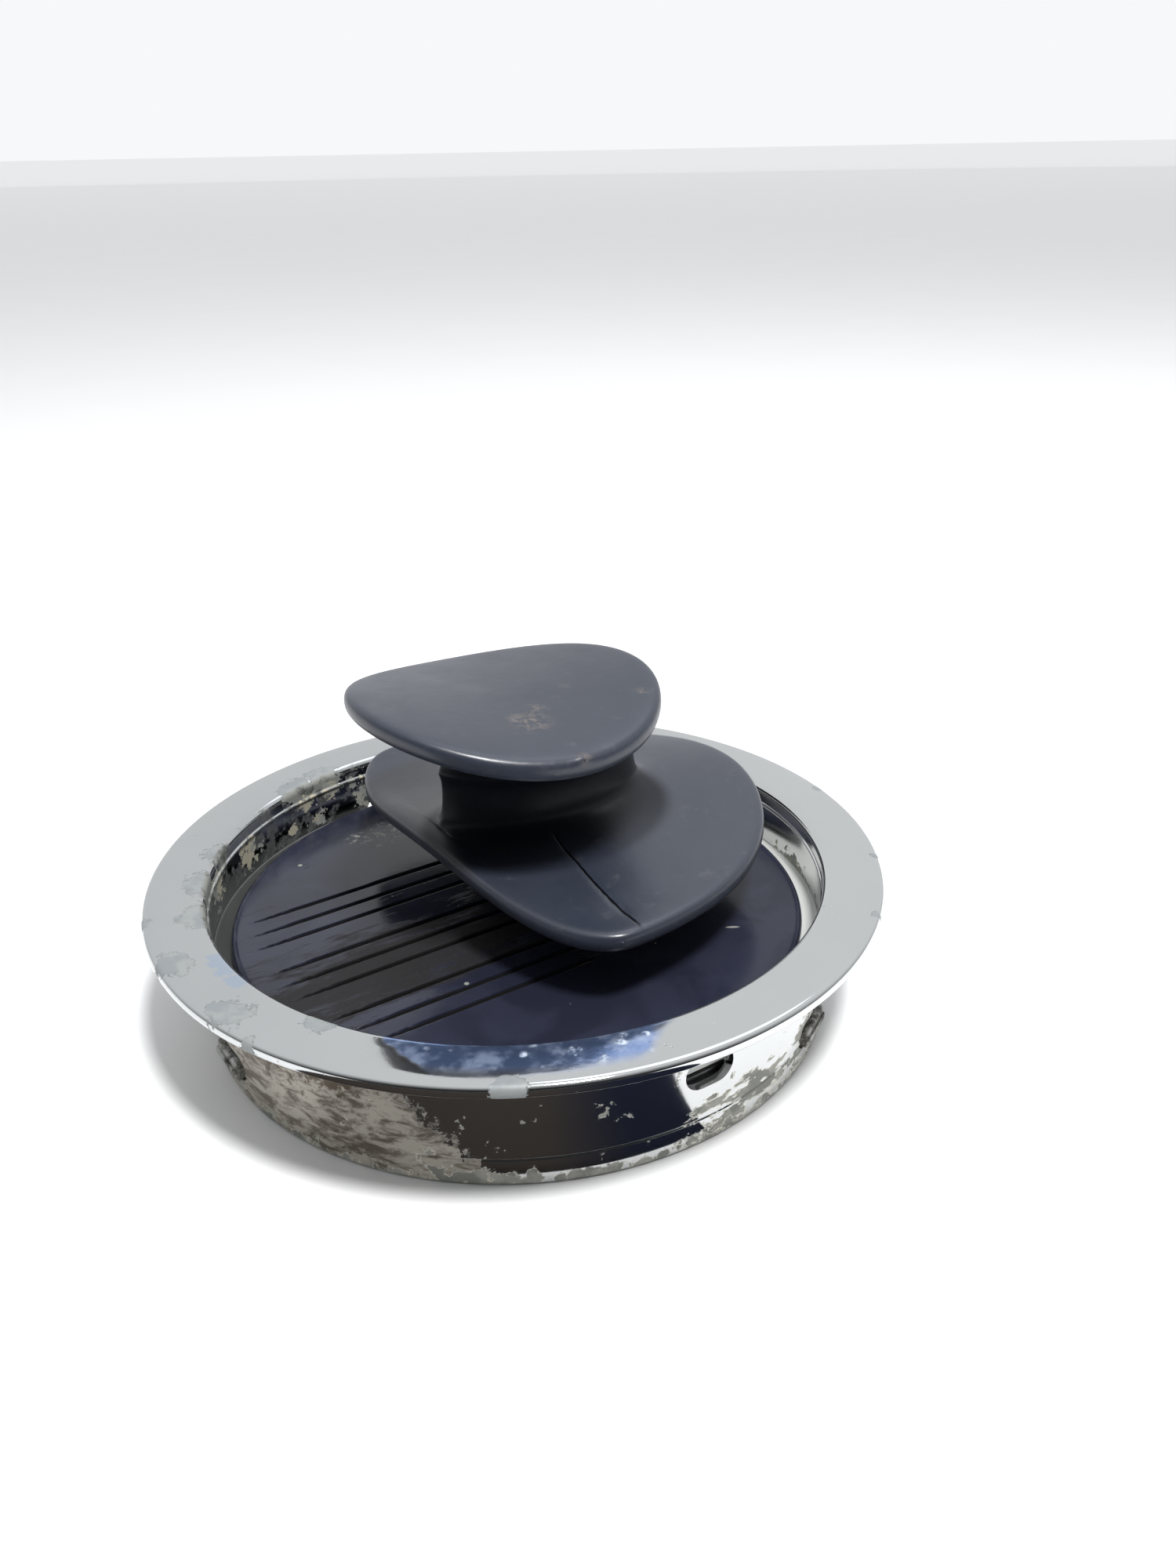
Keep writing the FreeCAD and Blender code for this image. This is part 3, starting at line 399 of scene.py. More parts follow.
def chrome_look():
    """Worn plating: clean chrome, dull flaked patches, a dirty side, pits and water spots; painted light: a
    blue reflection on the flange front, a seat lit on the right and shaded on the left, chrome lighter to
    the right front.
    """
    look = Look("worn_chrome")
    top = RING_TOP
    radius = look.radius()
    degrees = look.times(look.math("ARCTAN2", look.y, look.x), 180 / math.pi)
    on_skirt = look.times(look.step(radius, SKIRT_RADIUS - 1.0, SKIRT_RADIUS - 0.4),
                          look.step(look.z, top - 2.6, top - 3.4))
    inside = look.times(look.step(radius, WALL_RADIUS + 0.9, WALL_RADIUS + 0.3),
                        look.step(look.z, SEAT_LEVEL + 0.1, SEAT_LEVEL + 0.4))
    seat = look.times(look.step(radius, WALL_RADIUS + 0.2, WALL_RADIUS - 0.2),
                      look.step(look.z, SEAT_LEVEL + 0.4, SEAT_LEVEL + 0.1))
    ragged = look.noise(2.1, 8, 0.70)
    coarse = look.noise(9.0, 5, 0.6, shift=4.0)

    # dull patches where the plating has gone from the flange and its edges
    rim_patches = look.blobs([
        (55.2, -151.7, top, 5.6, 1), (54.7, -135.1, top, 6.0, 1), (49.1, -122.4, top, 4.2, 1),
        (48.5, 142.0, top - 1, 7.0, 1), (47.9, 135.0, top - 1, 7.0, 1), (48.6, -176.0, top - 1, 6.5, 1),
        (48.6, -165.0, top - 1, 7.0, 1), (48.6, 172.0, top - 1, 5.0, 1), (56.9, -92.3, top - 0.6, 4.4, 1),
        (56.6, -23.4, top - 0.5, 2.2, 1), (56.4, 20.3, top - 0.3, 1.8, 1), (56.6, -5.4, top - 0.5, 1.6, 1),
        (57.0, -165.0, top - 1.2, 3.0, 1), (57.2, -128.0, top - 1.2, 3.0, 1)])
    rim_field = look.total(look.times(rim_patches, 0.62), ragged)
    rim_flake = look.step(rim_field, 0.80, 0.815)

    # a light blue patch painted at the flange's inner edge at the back left
    blue_patches = look.blobs([(49.0, -148.5, top, 3.2, 1), (49.2, -145.0, top, 3.2, 1),
                               (49.2, -141.5, top, 3.4, 1)])
    blue_field = look.total(look.times(blue_patches, 0.45), ragged)
    inner_edge_blue = look.step(blue_field, 0.66, 0.72)

    # inner wall: cream and grey remains at the back left
    wall_patches = look.blobs([(WALL_RADIUS, *row) for row in (
        (139.5, 19.2, 4.6, 1.6), (133.0, 19.4, 4.2, 1.6), (127.5, 19.1, 2.8, 1), (138.0, 14.9, 3.6, 1.4),
        (145.0, 15.2, 2.2, 1), (126.0, 15.8, 3.4, 1), (160.0, 17.0, 5.5, 1), (176.0, 18.0, 5.5, 1),
        (12.0, 13.2, 12.0, 4.0), (-8.0, 13.2, 8.0, 4.0))])
    wall_field = look.total(look.times(wall_patches, 0.34), look.noise(1.5, 6, 0.62, shift=3.0))
    wall_flake = look.times(look.step(wall_field, 0.68, 0.70), inside)
    left_arc = look.times(inside, look.math("MAXIMUM", look.step(degrees, 112.0, 124.0),
                                            look.step(degrees, -140.0, -156.0)))
    tarnish = look.times(left_arc, look.step(look.noise(3.0, 6, 0.66, shift=17.0), 0.50, 0.62))

    # skirt: worn matt on the left, flaked low on the right
    boundary = look.total(look.times(look.z, -1.147), -93.2, look.times(degrees, -1.0),
                          look.times(ragged, 22.0), -11.0)
    front_half = look.step(look.y, -1.0, -15.0)
    worn_left = look.times(look.times(look.step(boundary, 0.0, 1.2), front_half), on_skirt)
    reach_right = look.times(look.step(degrees, -74.0, -56.0), look.step(degrees, -8.0, -24.0))
    low_right = look.step(look.z, 12.5, 5.0)
    right_field = look.total(look.times(look.times(reach_right, low_right), 0.24),
                             look.noise(5.0, 7, 0.66, look.stretched((1, 1, 2.4)), shift=6.0))
    right_flake = look.step(right_field, 0.722, 0.737)
    foot_field = look.total(look.times(look.step(look.z, 3.2, 0.6), 0.17),
                            look.noise(3.4, 6, 0.62, shift=8.0))
    foot_flake = look.step(foot_field, 0.66, 0.675)
    behind = look.times(look.step(coarse, 0.56, 0.60), look.step(look.y, -2.0, 10.0))
    skirt_flake = look.times(look.most([right_flake, foot_flake, behind]), on_skirt)
    right_edge = look.math("SUBTRACT", look.step(right_field, 0.69, 0.722), right_flake, clamp=True)
    foot_edge = look.math("SUBTRACT", look.step(foot_field, 0.63, 0.66), foot_flake, clamp=True)
    bright_edge = look.times(look.most([right_edge, look.times(foot_edge, 0.6)]), on_skirt)

    pits = look.times(look.step(look.cells(1.1), 0.16, 0.05),
                      look.step(look.noise(8.0, 3, shift=7.0), 0.57, 0.68))
    spots = look.times(look.step(look.cells(3.0, feature="SMOOTH_F1"), 0.34, 0.18),
                       look.step(look.noise(2.0, 4, shift=9.0), 0.38, 0.62))
    # painted reflection: a blue patch on the front of the flange, dulled so that its colour shows, stands
    # in for the grip's reflection; water spots show only within it
    outward = look.math("SUBTRACT", radius, 48.0)
    wavy = look.times(look.math("SUBTRACT", look.noise(7.0, 3, shift=12.0), 0.5), 9.0)
    reflection_left_edge = look.total(degrees, 113.0, look.times(outward, -1.3), wavy)
    reflection_right_edge = look.total(look.times(degrees, -1.0), -66.5, look.times(outward, -1.0), wavy)
    reflection_sides = look.times(look.step(reflection_left_edge, -0.7, 0.7), look.step(reflection_right_edge, -2.0, 2.0))
    reflection_depth = look.times(look.step(radius, 56.0, 53.0), look.step(look.z, top - 1.4, top - 1.0))
    painted_grip_reflection = look.times(reflection_sides, reflection_depth)
    cloud = look.step(look.noise(5.0, 4, 0.6, shift=15.0), 0.42, 0.60)
    spots = look.times(spots, look.times(painted_grip_reflection, look.step(radius, 48.2, 49.0)))
    reflection_dulling = look.times(painted_grip_reflection, look.mix(cloud, 0.10, 0.22))

    # painted light: the chrome is painted lighter towards the right front and darker towards the left back,
    # over a random tone
    side = look.step(look.total(look.x, look.times(look.y, -0.6)), -50.0, 40.0)
    tone_and_side_light = look.total(look.times(look.noise(16.0, 3, shift=1.0), 0.5), look.times(side, 0.6), -0.05)
    colour = look.mix(tone_and_side_light, (0.50, 0.515, 0.52), (0.635, 0.645, 0.645))
    blue = look.mix(cloud, (0.26, 0.37, 0.66), (0.46, 0.56, 0.80))
    colour = look.mix(painted_grip_reflection, colour, blue)
    colour = look.mix(inner_edge_blue, colour, (0.46, 0.52, 0.61))
    patch = look.mix(cloud, (0.205, 0.222, 0.228), (0.255, 0.268, 0.268))
    colour = look.mix(rim_flake, colour, look.mix(inside, patch, (0.24, 0.245, 0.225)))
    colour = look.mix(look.times(tarnish, 0.9), colour, (0.075, 0.080, 0.072))
    wall_tone = look.mix(look.step(look.noise(4.0, 3, shift=5.0), 0.45, 0.55),
                         (0.30, 0.31, 0.29), (0.46, 0.43, 0.33))
    colour = look.mix(wall_flake, colour, wall_tone)
    grime = look.noise(4.5, 7, 0.72, look.stretched((1, 1, 2.6)), 0.7, 2.0)
    beige = look.mix(look.step(grime, 0.43, 0.60), (0.42, 0.395, 0.34), (0.13, 0.11, 0.085))
    brown_place = look.times(look.step(look.z, 7.0, 15.0), look.step(degrees, -108.0, -122.0))
    brown = look.step(look.total(look.noise(1.6, 6, 0.7, shift=3.0), look.times(brown_place, 0.24)),
                      0.60, 0.72)
    beige = look.mix(brown, beige, (0.10, 0.072, 0.045))
    colour = look.mix(worn_left, colour, beige)
    colour = look.mix(skirt_flake, colour, look.mix(cloud, (0.20, 0.205, 0.185), (0.36, 0.355, 0.32)))
    colour = look.mix(bright_edge, colour, (0.80, 0.78, 0.68))
    # painted light and shade: the seat ledge is painted near black on the left, where it lies in shade, and
    # near white on the right, where it is lit
    painted_seat_light_and_shade = look.mix(look.step(look.x, -10.0, 20.0), (0.030, 0.031, 0.029), (0.62, 0.63, 0.605))
    colour = look.mix(seat, colour, painted_seat_light_and_shade)
    colour = look.mix(look.times(pits, 0.85), colour, (0.07, 0.065, 0.05))
    colour = look.mix(spots, colour, (0.74, 0.80, 0.84))
    look.set("Base Color", colour)
    dull = look.most([rim_flake, wall_flake, skirt_flake, look.times(worn_left, 0.85), pits,
                      look.times(bright_edge, 0.8), look.times(tarnish, 0.6), look.times(seat, 0.8),
                      look.times(spots, 0.8), reflection_dulling])
    look.set("Metallic", look.mix(dull, 1.0, 0.15))
    film = look.step(look.noise(18.0, 4, shift=2.0), 0.35, 0.7, 0.05, 0.12)
    look.set("Roughness", look.mix(dull, film, 0.55))
    waves = look.times(look.noise(16.0, 2, shift=9.0), 0.8)
    lost = look.most([rim_flake, wall_flake, skirt_flake, pits])
    height = look.math("SUBTRACT", waves, look.times(lost, 0.9))
    look.bump(look.total(height, look.times(look.noise(0.7, 3), look.mix(dull, 0.04, 0.5))), 0.07)
    return look.material


def disc_look():
    """Glossy dark plastic with worn dirt along the grooves, stains and specks."""
    look = Look("navy_disc_plastic")
    turned = look.turned(-GRIP_TURN)
    along, across, _ = look.parts(turned)
    stretched = look.add("ShaderNodeVectorMath", operation="MULTIPLY")
    look.plug(turned, stretched.inputs[0])
    stretched.inputs[1].default_value = (0.22, 1.0, 1.0)
    from_middle = look.math("ABSOLUTE", look.math("DIVIDE", look.total(across, 7.0), 17.0))
    band = look.math("SUBTRACT", 1.0, from_middle, clamp=True)
    left_side = look.step(along, 4.0, -6.0)
    streak = look.noise(3.4, 6, 0.66, stretched.outputs[0], 0.4)
    grime_field = look.total(look.times(band, 0.37), streak)
    grime = look.times(look.step(grime_field, 0.62, 0.80), left_side)
    crown = look.times(look.times(look.radius(), look.radius()), -DISC_CROWN / DISC_RADIUS ** 2)
    dip = look.total(DISC_TOP - 0.25, crown, look.times(look.z, -1.0))
    in_groove = look.times(look.step(dip, -0.1, 0.2),
                           look.step(look.radius(), GROOVE_REACH + 0.6, GROOVE_REACH - 0.2))
    stain = look.step(look.noise(15.0, 4, 0.5, shift=4.0, distortion=1.0), 0.42, 0.58)
    specks = look.times(look.step(look.cells(2.4), 0.10, 0.03),
                        look.step(look.noise(8.0, 3, shift=6.0), 0.55, 0.66))
    chips = look.most([look.blob(on_ring(39.3, 158.9, DISC_TOP - 0.3), 0.6),
                       look.blob(on_ring(25.5, -108.4, DISC_TOP), 0.6),
                       look.blob(on_ring(31.0, 140.1, DISC_TOP), 0.9),
                       look.blob(on_ring(35.1, -20.9, DISC_TOP - 0.2), 1.7, (1, 4, 1))])
    specks = look.most([specks, look.step(chips, 0.25, 0.5)])
    scuffs = look.times(look.most([look.blob(on_ring(33.2, 131.0, DISC_TOP), 5.0),
                                   look.blob(on_ring(35.5, 140.5, DISC_TOP), 3.0)]),
                        look.step(look.noise(1.3, 5, 0.7), 0.50, 0.62))
    base = look.mix(stain, (0.0140, 0.0155, 0.0270), (0.0200, 0.0220, 0.0370))
    colour = look.mix(look.times(grime, 0.85), base, (0.0125, 0.0110, 0.0100))
    # painted shade: the groove floors are painted near black
    colour = look.mix(in_groove, colour, (0.004, 0.0035, 0.003))
    colour = look.mix(specks, colour, (0.22, 0.22, 0.20))
    colour = look.mix(scuffs, colour, (0.42, 0.42, 0.36))
    look.set("Base Color", colour)
    film = look.step(look.noise(9.0, 5, 0.6, shift=8.0), 0.3, 0.7, 0.12, 0.20)
    rough = look.mix(look.times(stain, 0.25), film, 0.24)
    look.set("Roughness", look.mix(look.most([grime, scuffs, specks, in_groove]), rough, 0.62))
    look.set("IOR", 1.42)
    shine = look.math("SUBTRACT", look.step(look.x, -12.0, 34.0, 0.5, 0.26), look.times(grime, 0.20))
    look.set("Specular IOR Level", shine)
    fine = look.times(look.noise(0.8, 4), look.total(grime, 0.12))
    look.bump(look.total(fine, look.times(look.noise(12.0, 2), 0.5)), 0.09)
    return look.material


def grip_look():
    """Satin moulded plastic: slight mottling, scratches and a few marks."""
    look = Look("slate_grip_plastic")
    mottle = look.noise(7.0, 5, 0.6)
    colour = look.mix(mottle, (0.0175, 0.0215, 0.0335), (0.0270, 0.0325, 0.0475))
    dust = look.step(look.noise(2.6, 6, 0.68, shift=2.0), 0.56, 0.72)
    colour = look.mix(look.times(dust, 0.14), colour, (0.17, 0.17, 0.165))
    scraped = look.step(look.noise(0.9, 6, 0.7, shift=5.0), 0.46, 0.56)
    marks = look.times(look.most([look.blob(point, reach) for point, reach in (
        ((2.6, -10.5, 49.0), 4.2), ((3.6, -6.0, 49.5), 2.2), ((-18.5, -11.5, 48.0), 6.5),
        ((20.0, -1.5, 50.0), 1.6), ((10.5, -20.4, 49.2), 2.2))]), scraped)
    dot = look.step(look.blob((-3.8, -8.2, 49.3), 1.3), 0.1, 0.5)
    colour = look.mix(look.times(marks, 0.7), colour, (0.20, 0.16, 0.13))
    along, across, _ = look.parts(look.turned(-GRIP_TURN))
    line = look.math("ABSOLUTE", look.total(along, -CREASE_START, look.times(across, -CREASE_SLOPE),
                                            look.times(look.noise(5.0, 3, shift=4.0), 0.5), -0.25))
    crease = look.times(look.step(line, 0.34, 0.10),
                        look.times(look.step(across, -7.0, -11.0), look.step(across, -35.5, -32.5)))
    crease = look.times(crease, look.step(look.z, DISC_TOP + 6.0, DISC_TOP + 7.5))
    crease = look.times(crease, look.step(look.z, DISC_TOP + 24.0, DISC_TOP + 22.0))
    # painted shade: the crease line is painted near black and has little gloss
    colour = look.mix(crease, colour, (0.002, 0.002, 0.003))
    # painted shadow: the lower plate round the neck, under the upper plate, is painted near black with
    # little gloss
    painted_neck_shadow = look.times(look.step(look.z, DISC_TOP + 12.0, DISC_TOP + 15.0),
                           look.step(look.z, DISC_TOP + 31.4, DISC_TOP + 29.6))
    from_neck = look.math("SQRT", look.total(
        look.math("POWER", look.math("DIVIDE", look.math("SUBTRACT", along, 4.0), 21.0), 2.0),
        look.math("POWER", look.math("DIVIDE", look.total(across, 3.0), 15.0), 2.0)))
    painted_neck_shadow = look.times(painted_neck_shadow, look.step(from_neck, 1.08, 0.92))
    colour = look.mix(look.times(painted_neck_shadow, 0.85), colour, (0.0035, 0.0036, 0.0055))
    colour = look.mix(dot, colour, (0.05, 0.035, 0.03))
    look.set("Base Color", colour)
    rough = look.step(look.noise(11.0, 4, shift=3.0), 0.3, 0.7, 0.29, 0.38)
    look.set("Roughness", look.mix(look.most([look.times(dust, 0.35), marks]), rough, 0.6))
    look.set("IOR", 1.56)
    look.set("Specular IOR Level", look.mix(look.most([crease, look.times(painted_neck_shadow, 0.75)]), 0.5, 0.04))
    relief = look.total(look.times(look.noise(0.9, 4), 0.2), look.noise(6.0, 3))
    look.bump(look.math("SUBTRACT", relief, look.times(crease, 1.2)), 0.07)
    return look.material


def dirty_steel_look():
    """Grey sprung steel under dark dirt, rubbed bright in places."""
    look = Look("dirty_clip_steel")
    dirt = look.step(look.noise(2.2, 6, 0.7), 0.42, 0.60)
    shine = look.step(look.noise(0.8, 4, 0.6, shift=3.0), 0.55, 0.70)
    colour = look.mix(dirt, (0.30, 0.30, 0.28), (0.045, 0.038, 0.030))
    colour = look.mix(look.times(shine, 0.5), colour, (0.55, 0.54, 0.50))
    look.set("Base Color", colour)
    look.set("Metallic", look.mix(dirt, 0.8, 0.1))
    look.set("Roughness", look.mix(dirt, 0.38, 0.75))
    look.bump(look.total(dirt, look.noise(0.5, 4)), 0.12)
    return look.material


def plain_look(name, low, high, roughness, metallic=0.0, size=4.0, depth=0.05, stretch=(1, 1, 1)):
    """A hidden part's look: two tones of one colour, uneven gloss and a fine surface."""
    look = Look(name, Metallic=metallic)
    grain = look.noise(size, 5, 0.6, look.stretched(stretch))
    look.set("Base Color", look.mix(look.step(grain, 0.3, 0.7), low, high))
    look.set("Roughness", look.step(look.noise(size * 2, 4, shift=2.0), 0.3, 0.7,
                                    roughness * 0.8, roughness * 1.2))
    look.bump(look.noise(size * 0.2, 3), depth)
    return look.material


# ---------------------------------------------------------------- trim ring

def build_ring():
    """Flange, skirt with its turned line and foot, the wall's bead and the seat, then slots and weeps."""
    foot = SKIRT_RADIUS - FOOT_STEP
    rim_underside = RING_TOP - FLANGE_THICKNESS
    bead_level = RING_TOP - BEAD_DROP
    seat_underside = SEAT_LEVEL - SEAT_THICKNESS
    outline = rounded([
        (WALL_RADIUS, 0.0, 0.45), (foot, 0.0, 0.45), (foot, LINE_LEVEL - 0.3, 0.1),
        (SKIRT_RADIUS - 0.35, LINE_LEVEL, 0.12), (SKIRT_RADIUS, LINE_LEVEL + 0.35, 0.1),
        (SKIRT_RADIUS, rim_underside, 0.7), (FLANGE_RADIUS, rim_underside, 0.95),
        (FLANGE_RADIUS, RING_TOP, 0.95), (WALL_RADIUS, RING_TOP, 1.9),
        (WALL_RADIUS, bead_level + BEAD_SIZE, 0.1), (WALL_RADIUS - BEAD_SIZE, bead_level, 0.3),
        (WALL_RADIUS, bead_level - BEAD_SIZE, 0.1), (WALL_RADIUS, SEAT_LEVEL, 0.4),
        (SEAT_RADIUS, SEAT_LEVEL, 0.4), (SEAT_RADIUS, seat_underside, 0.4),
        (WALL_RADIUS, seat_underside, 0.4)])
    ring = new_piece("ring_casting", *lathe(split_long(outline, 2.0), 480))
    cutters = [obround_cutter(math.radians(a), SLOT_LEVEL, SLOT_WIDTH, SLOT_HEIGHT, *SLOT_CUT)
               for a in SLOT_DEGREES]
    cutters += [obround_cutter(math.radians(a), WEEP_LEVEL, WEEP_WIDTH, WEEP_HEIGHT, *WEEP_CUT)
                for a in WEEP_DEGREES]
    cut_away(ring, cutters)
    return ring


# ---------------------------------------------------------------- closure disc

GROOVE_OFFSETS = [group * 15.6 + line * 4.0 - 2.4 for group in (-1, 0, 1) for line in (-1, 0, 1)]


def disc_height(along, across):
    """Level of the disc's top: a low crown less nine tapered grooves."""
    radius = np.hypot(along, across)
    level = DISC_TOP - DISC_CROWN * (radius / DISC_RADIUS) ** 2
    for offset in GROOVE_OFFSETS:
        outer = -math.sqrt(GROOVE_REACH ** 2 - offset ** 2)
        taper = smoothstep(outer, outer + 10.0, along) * smoothstep(GROOVE_INNER_END, -1.0, along)
        width = 0.22 + 0.30 * taper
        depth = 1.0 * smoothstep(outer, outer + 6.0, along) * smoothstep(GROOVE_INNER_END, 0.2, along)
        level = level - depth * (1 - smoothstep(width * 0.55, width * 1.1, np.abs(across - offset)))
    return level


def build_disc():
    """A grid of the top that is finer at the grooves, then rings down the edge, seal groove and boss."""
    flat = DISC_RADIUS - DISC_ROUND
    lines = [flat * math.sin(math.radians(a)) for a in np.linspace(-90, 90, 91)]
    for offset in GROOVE_OFFSETS:
        lines += [offset + step * 0.09 for step in range(-8, 9)]
    lines = sorted(lines)
    rows = [lines[0]]
    for line in lines[1:]:
        if line - rows[-1] > 0.05:
            rows.append(line)
    rows[-1] = flat
    columns = np.linspace(-1, 1, 111)
    vertices = [(0.0, -flat)]
    for across in rows[1:-1]:
        half = math.sqrt(flat ** 2 - across ** 2)
        vertices += [(half * share, across) for share in columns]
    vertices.append((0.0, flat))
    plan = np.array(vertices)
    levels = disc_height(plan[:, 0], plan[:, 1])
    count = len(columns)
    inner = len(rows) - 2
    faces = []
    for row in range(inner - 1):
        base = 1 + row * count
        faces += [(base + c, base + c + 1, base + c + 1 + count, base + c + count)
                  for c in range(count - 1)]
    last = len(plan) - 1
    faces += [(0, 2 + c, 1 + c) for c in range(count - 1)]
    faces += [(last, 1 + (inner - 1) * count + c, 2 + (inner - 1) * count + c) for c in range(count - 1)]
    edge = [0] + [1 + row * count + count - 1 for row in range(inner)] + [last]
    edge += [1 + row * count for row in reversed(range(inner))]
    all_vertices = [(x, y, z) for (x, y), z in zip(plan, levels)]
    rim_top = float(disc_height(np.array([0.0]), np.array([flat]))[0])
    underside = DISC_LOW.z + BOSS_DROP
    steps = 8
    rim = [(flat + DISC_ROUND * math.sin(a), rim_top - DISC_ROUND + DISC_ROUND * math.cos(a))
           for a in np.linspace(0, math.pi / 2, steps + 1)[1:]]
    rim += [(DISC_RADIUS, underside + 0.5), (DISC_RADIUS - 0.15, underside + 0.15),
            (DISC_RADIUS - 0.5, underside), (SEAL_OUTER, underside), (SEAL_OUTER, underside + SEAL_DEPTH),
            (SEAL_INNER, underside + SEAL_DEPTH), (SEAL_INNER, underside),
            (BOSS_RADIUS + 0.4, underside), (BOSS_RADIUS, underside - 0.4), (BOSS_RADIUS, DISC_LOW.z + 0.3),
            (BOSS_RADIUS - 0.3, DISC_LOW.z), (STEM_HOLE, DISC_LOW.z), (STEM_HOLE, DISC_LOW.z + 0.2)]
    previous = edge
    for radius, level in rim:
        ring = []
        for index in edge:
            x, y = plan[index]
            ring.append(len(all_vertices))
            all_vertices.append((x / flat * radius, y / flat * radius, level))
        size = len(edge)
        faces += [(previous[i], ring[i], ring[(i + 1) % size], previous[(i + 1) % size])
                  for i in range(size)]
        previous = ring
    faces.append(tuple(previous))
    return new_piece("cover_plate", turned_about_axis(all_vertices, GRIP_TURN), faces, 50)


# ---------------------------------------------------------------- grip

def low_surface(across):
    """Level of the lower plate's middle: it sags to both sides, less so far to the back."""
    lifted = LOW_LIFT * np.clip(across - LOW_LIFT_START, 0.0, None) ** 2
    return DISC_TOP + LOW_RISE - LOW_SAG * across ** 2 + LOW_SAG_EASE * across ** 4 + lifted


def top_surface(along, across):
    """Level of the upper plate's middle: a saddle, cupped along and sagging across, tilted a little."""
    tilt = TOP_TILT * (along * math.cos(GRIP_TURN) - across * math.sin(GRIP_TURN))
    return DISC_TOP + TOP_RISE + TOP_CUP * along ** 2 - TOP_SAG * across ** 2 + tilt


def grip_controls(angles):
    """Control rings of the grip's skin from the underside of the lower plate to the crown."""
    c, s = np.cos(angles), np.sin(angles)
    rings = []

    # the lower plate's back left corner is squarer than an ellipse
    corner = (c < 0) & (s > 0)
    low_c = np.where(corner, -np.abs(c) ** LOW_CORNER_POWERS[0], c)
    low_s = np.where(corner, np.abs(s) ** LOW_CORNER_POWERS[1], s)

    def low_ring(share, grow, offset):
        along = np.where(c > 0, LOW_FAR * share + grow, LOW_NEAR * share + grow) * low_c
        across = (np.where(s > 0, LOW_HALF_BACK, LOW_HALF_FRONT) * share + grow) * low_s
        rings.append(np.stack([along + LOW_MIDDLE, across, low_surface(across) + offset], 1))

    def top_ring(share, grow, offset):
        along, across = (TOP_HALF_ALONG * share + grow) * c, (TOP_HALF_ACROSS * share + grow) * s
        rings.append(np.stack([along + TOP_MIDDLE, across, top_surface(along, across) + offset], 1))

    def neck_ring(grow, share_up):
        reach = grow * (0.55 + 0.45 * s ** 2)
        along = NECK_MIDDLE[0] + (NECK_HALF_ALONG + reach) * c
        across = NECK_MIDDLE[1] + (NECK_HALF_ACROSS + reach) * s * np.abs(s) ** NECK_POWER
        low = low_surface(across) + LOW_EDGE
        top = top_surface(along, across) - TOP_EDGE
        rings.append(np.stack([along, across, low + (top - low) * share_up], 1))

    # the plates' rings: share of the outline, then how far out and how far up in half thicknesses
    for share, out, up in ((0.0, 0, -1), (0.35, 0, -1), (0.8, 0, -1), (1.0, 0, -1),
                           (1.0, 1, -0.8), (1.0, 1, 0.8), (1.0, 0, 1), (0.85, 0, 1)):
        low_ring(share, out * LOW_EDGE, up * LOW_EDGE)
    for grow, share_up in ((2.2, 0.0), (0.3, 0.07), (-0.4, 0.28), (-0.3, 0.44), (0.8, 0.5),
                           (-0.3, 0.56), (-0.6, 0.74), (0.2, 0.96)):
        neck_ring(grow, share_up)
    for share, out, up in ((0.86, 0, -1), (1.0, 0, -1), (1.0, 1, -0.8), (1.0, 1, 0.8),
                           (1.0, 0, 1), (0.8, 0, 1), (0.35, 0, 1), (0.0, 0, 1)):
        top_ring(share, out * TOP_EDGE, up * TOP_EDGE)
    return np.array(rings)


def clamped_basis(count, samples):
    """Cubic basis of a clamped curve with evenly spaced inner knots."""
    degree = 3
    spans = count - degree
    knots = np.concatenate([[0] * degree, np.arange(spans + 1), [spans] * degree]).astype(float)
    t = np.clip(np.linspace(0, spans, samples), 0, spans - 1e-9)
    basis = [((knots[i] <= t) & (t < knots[i + 1])).astype(float) for i in range(len(knots) - 1)]
    for d in range(1, degree + 1):
        following = []
        for i in range(len(knots) - 1 - d):
            left, right = knots[i + d] - knots[i], knots[i + d + 1] - knots[i + 1]
            term = np.zeros_like(t)
            if left > 0:
                term = term + (t - knots[i]) / left * basis[i]
            if right > 0:
                term = term + (knots[i + d + 1] - t) / right * basis[i + 1]
            following.append(term)
        basis = following
    return np.array(basis).T


def periodic_basis(count, samples):
    """Cubic basis of a closed curve with evenly spaced knots."""
    t = np.linspace(0, count, samples, endpoint=False)
    whole, part = np.floor(t).astype(int), t - np.floor(t)
    weights = [(1 - part) ** 3 / 6, (3 * part ** 3 - 6 * part ** 2 + 4) / 6,
               (-3 * part ** 3 + 3 * part ** 2 + 3 * part + 1) / 6, part ** 3 / 6]
    basis = np.zeros((samples, count))
    for k, weight in enumerate(weights):
        basis[np.arange(samples), (whole + k - 1) % count] += weight
    return basis


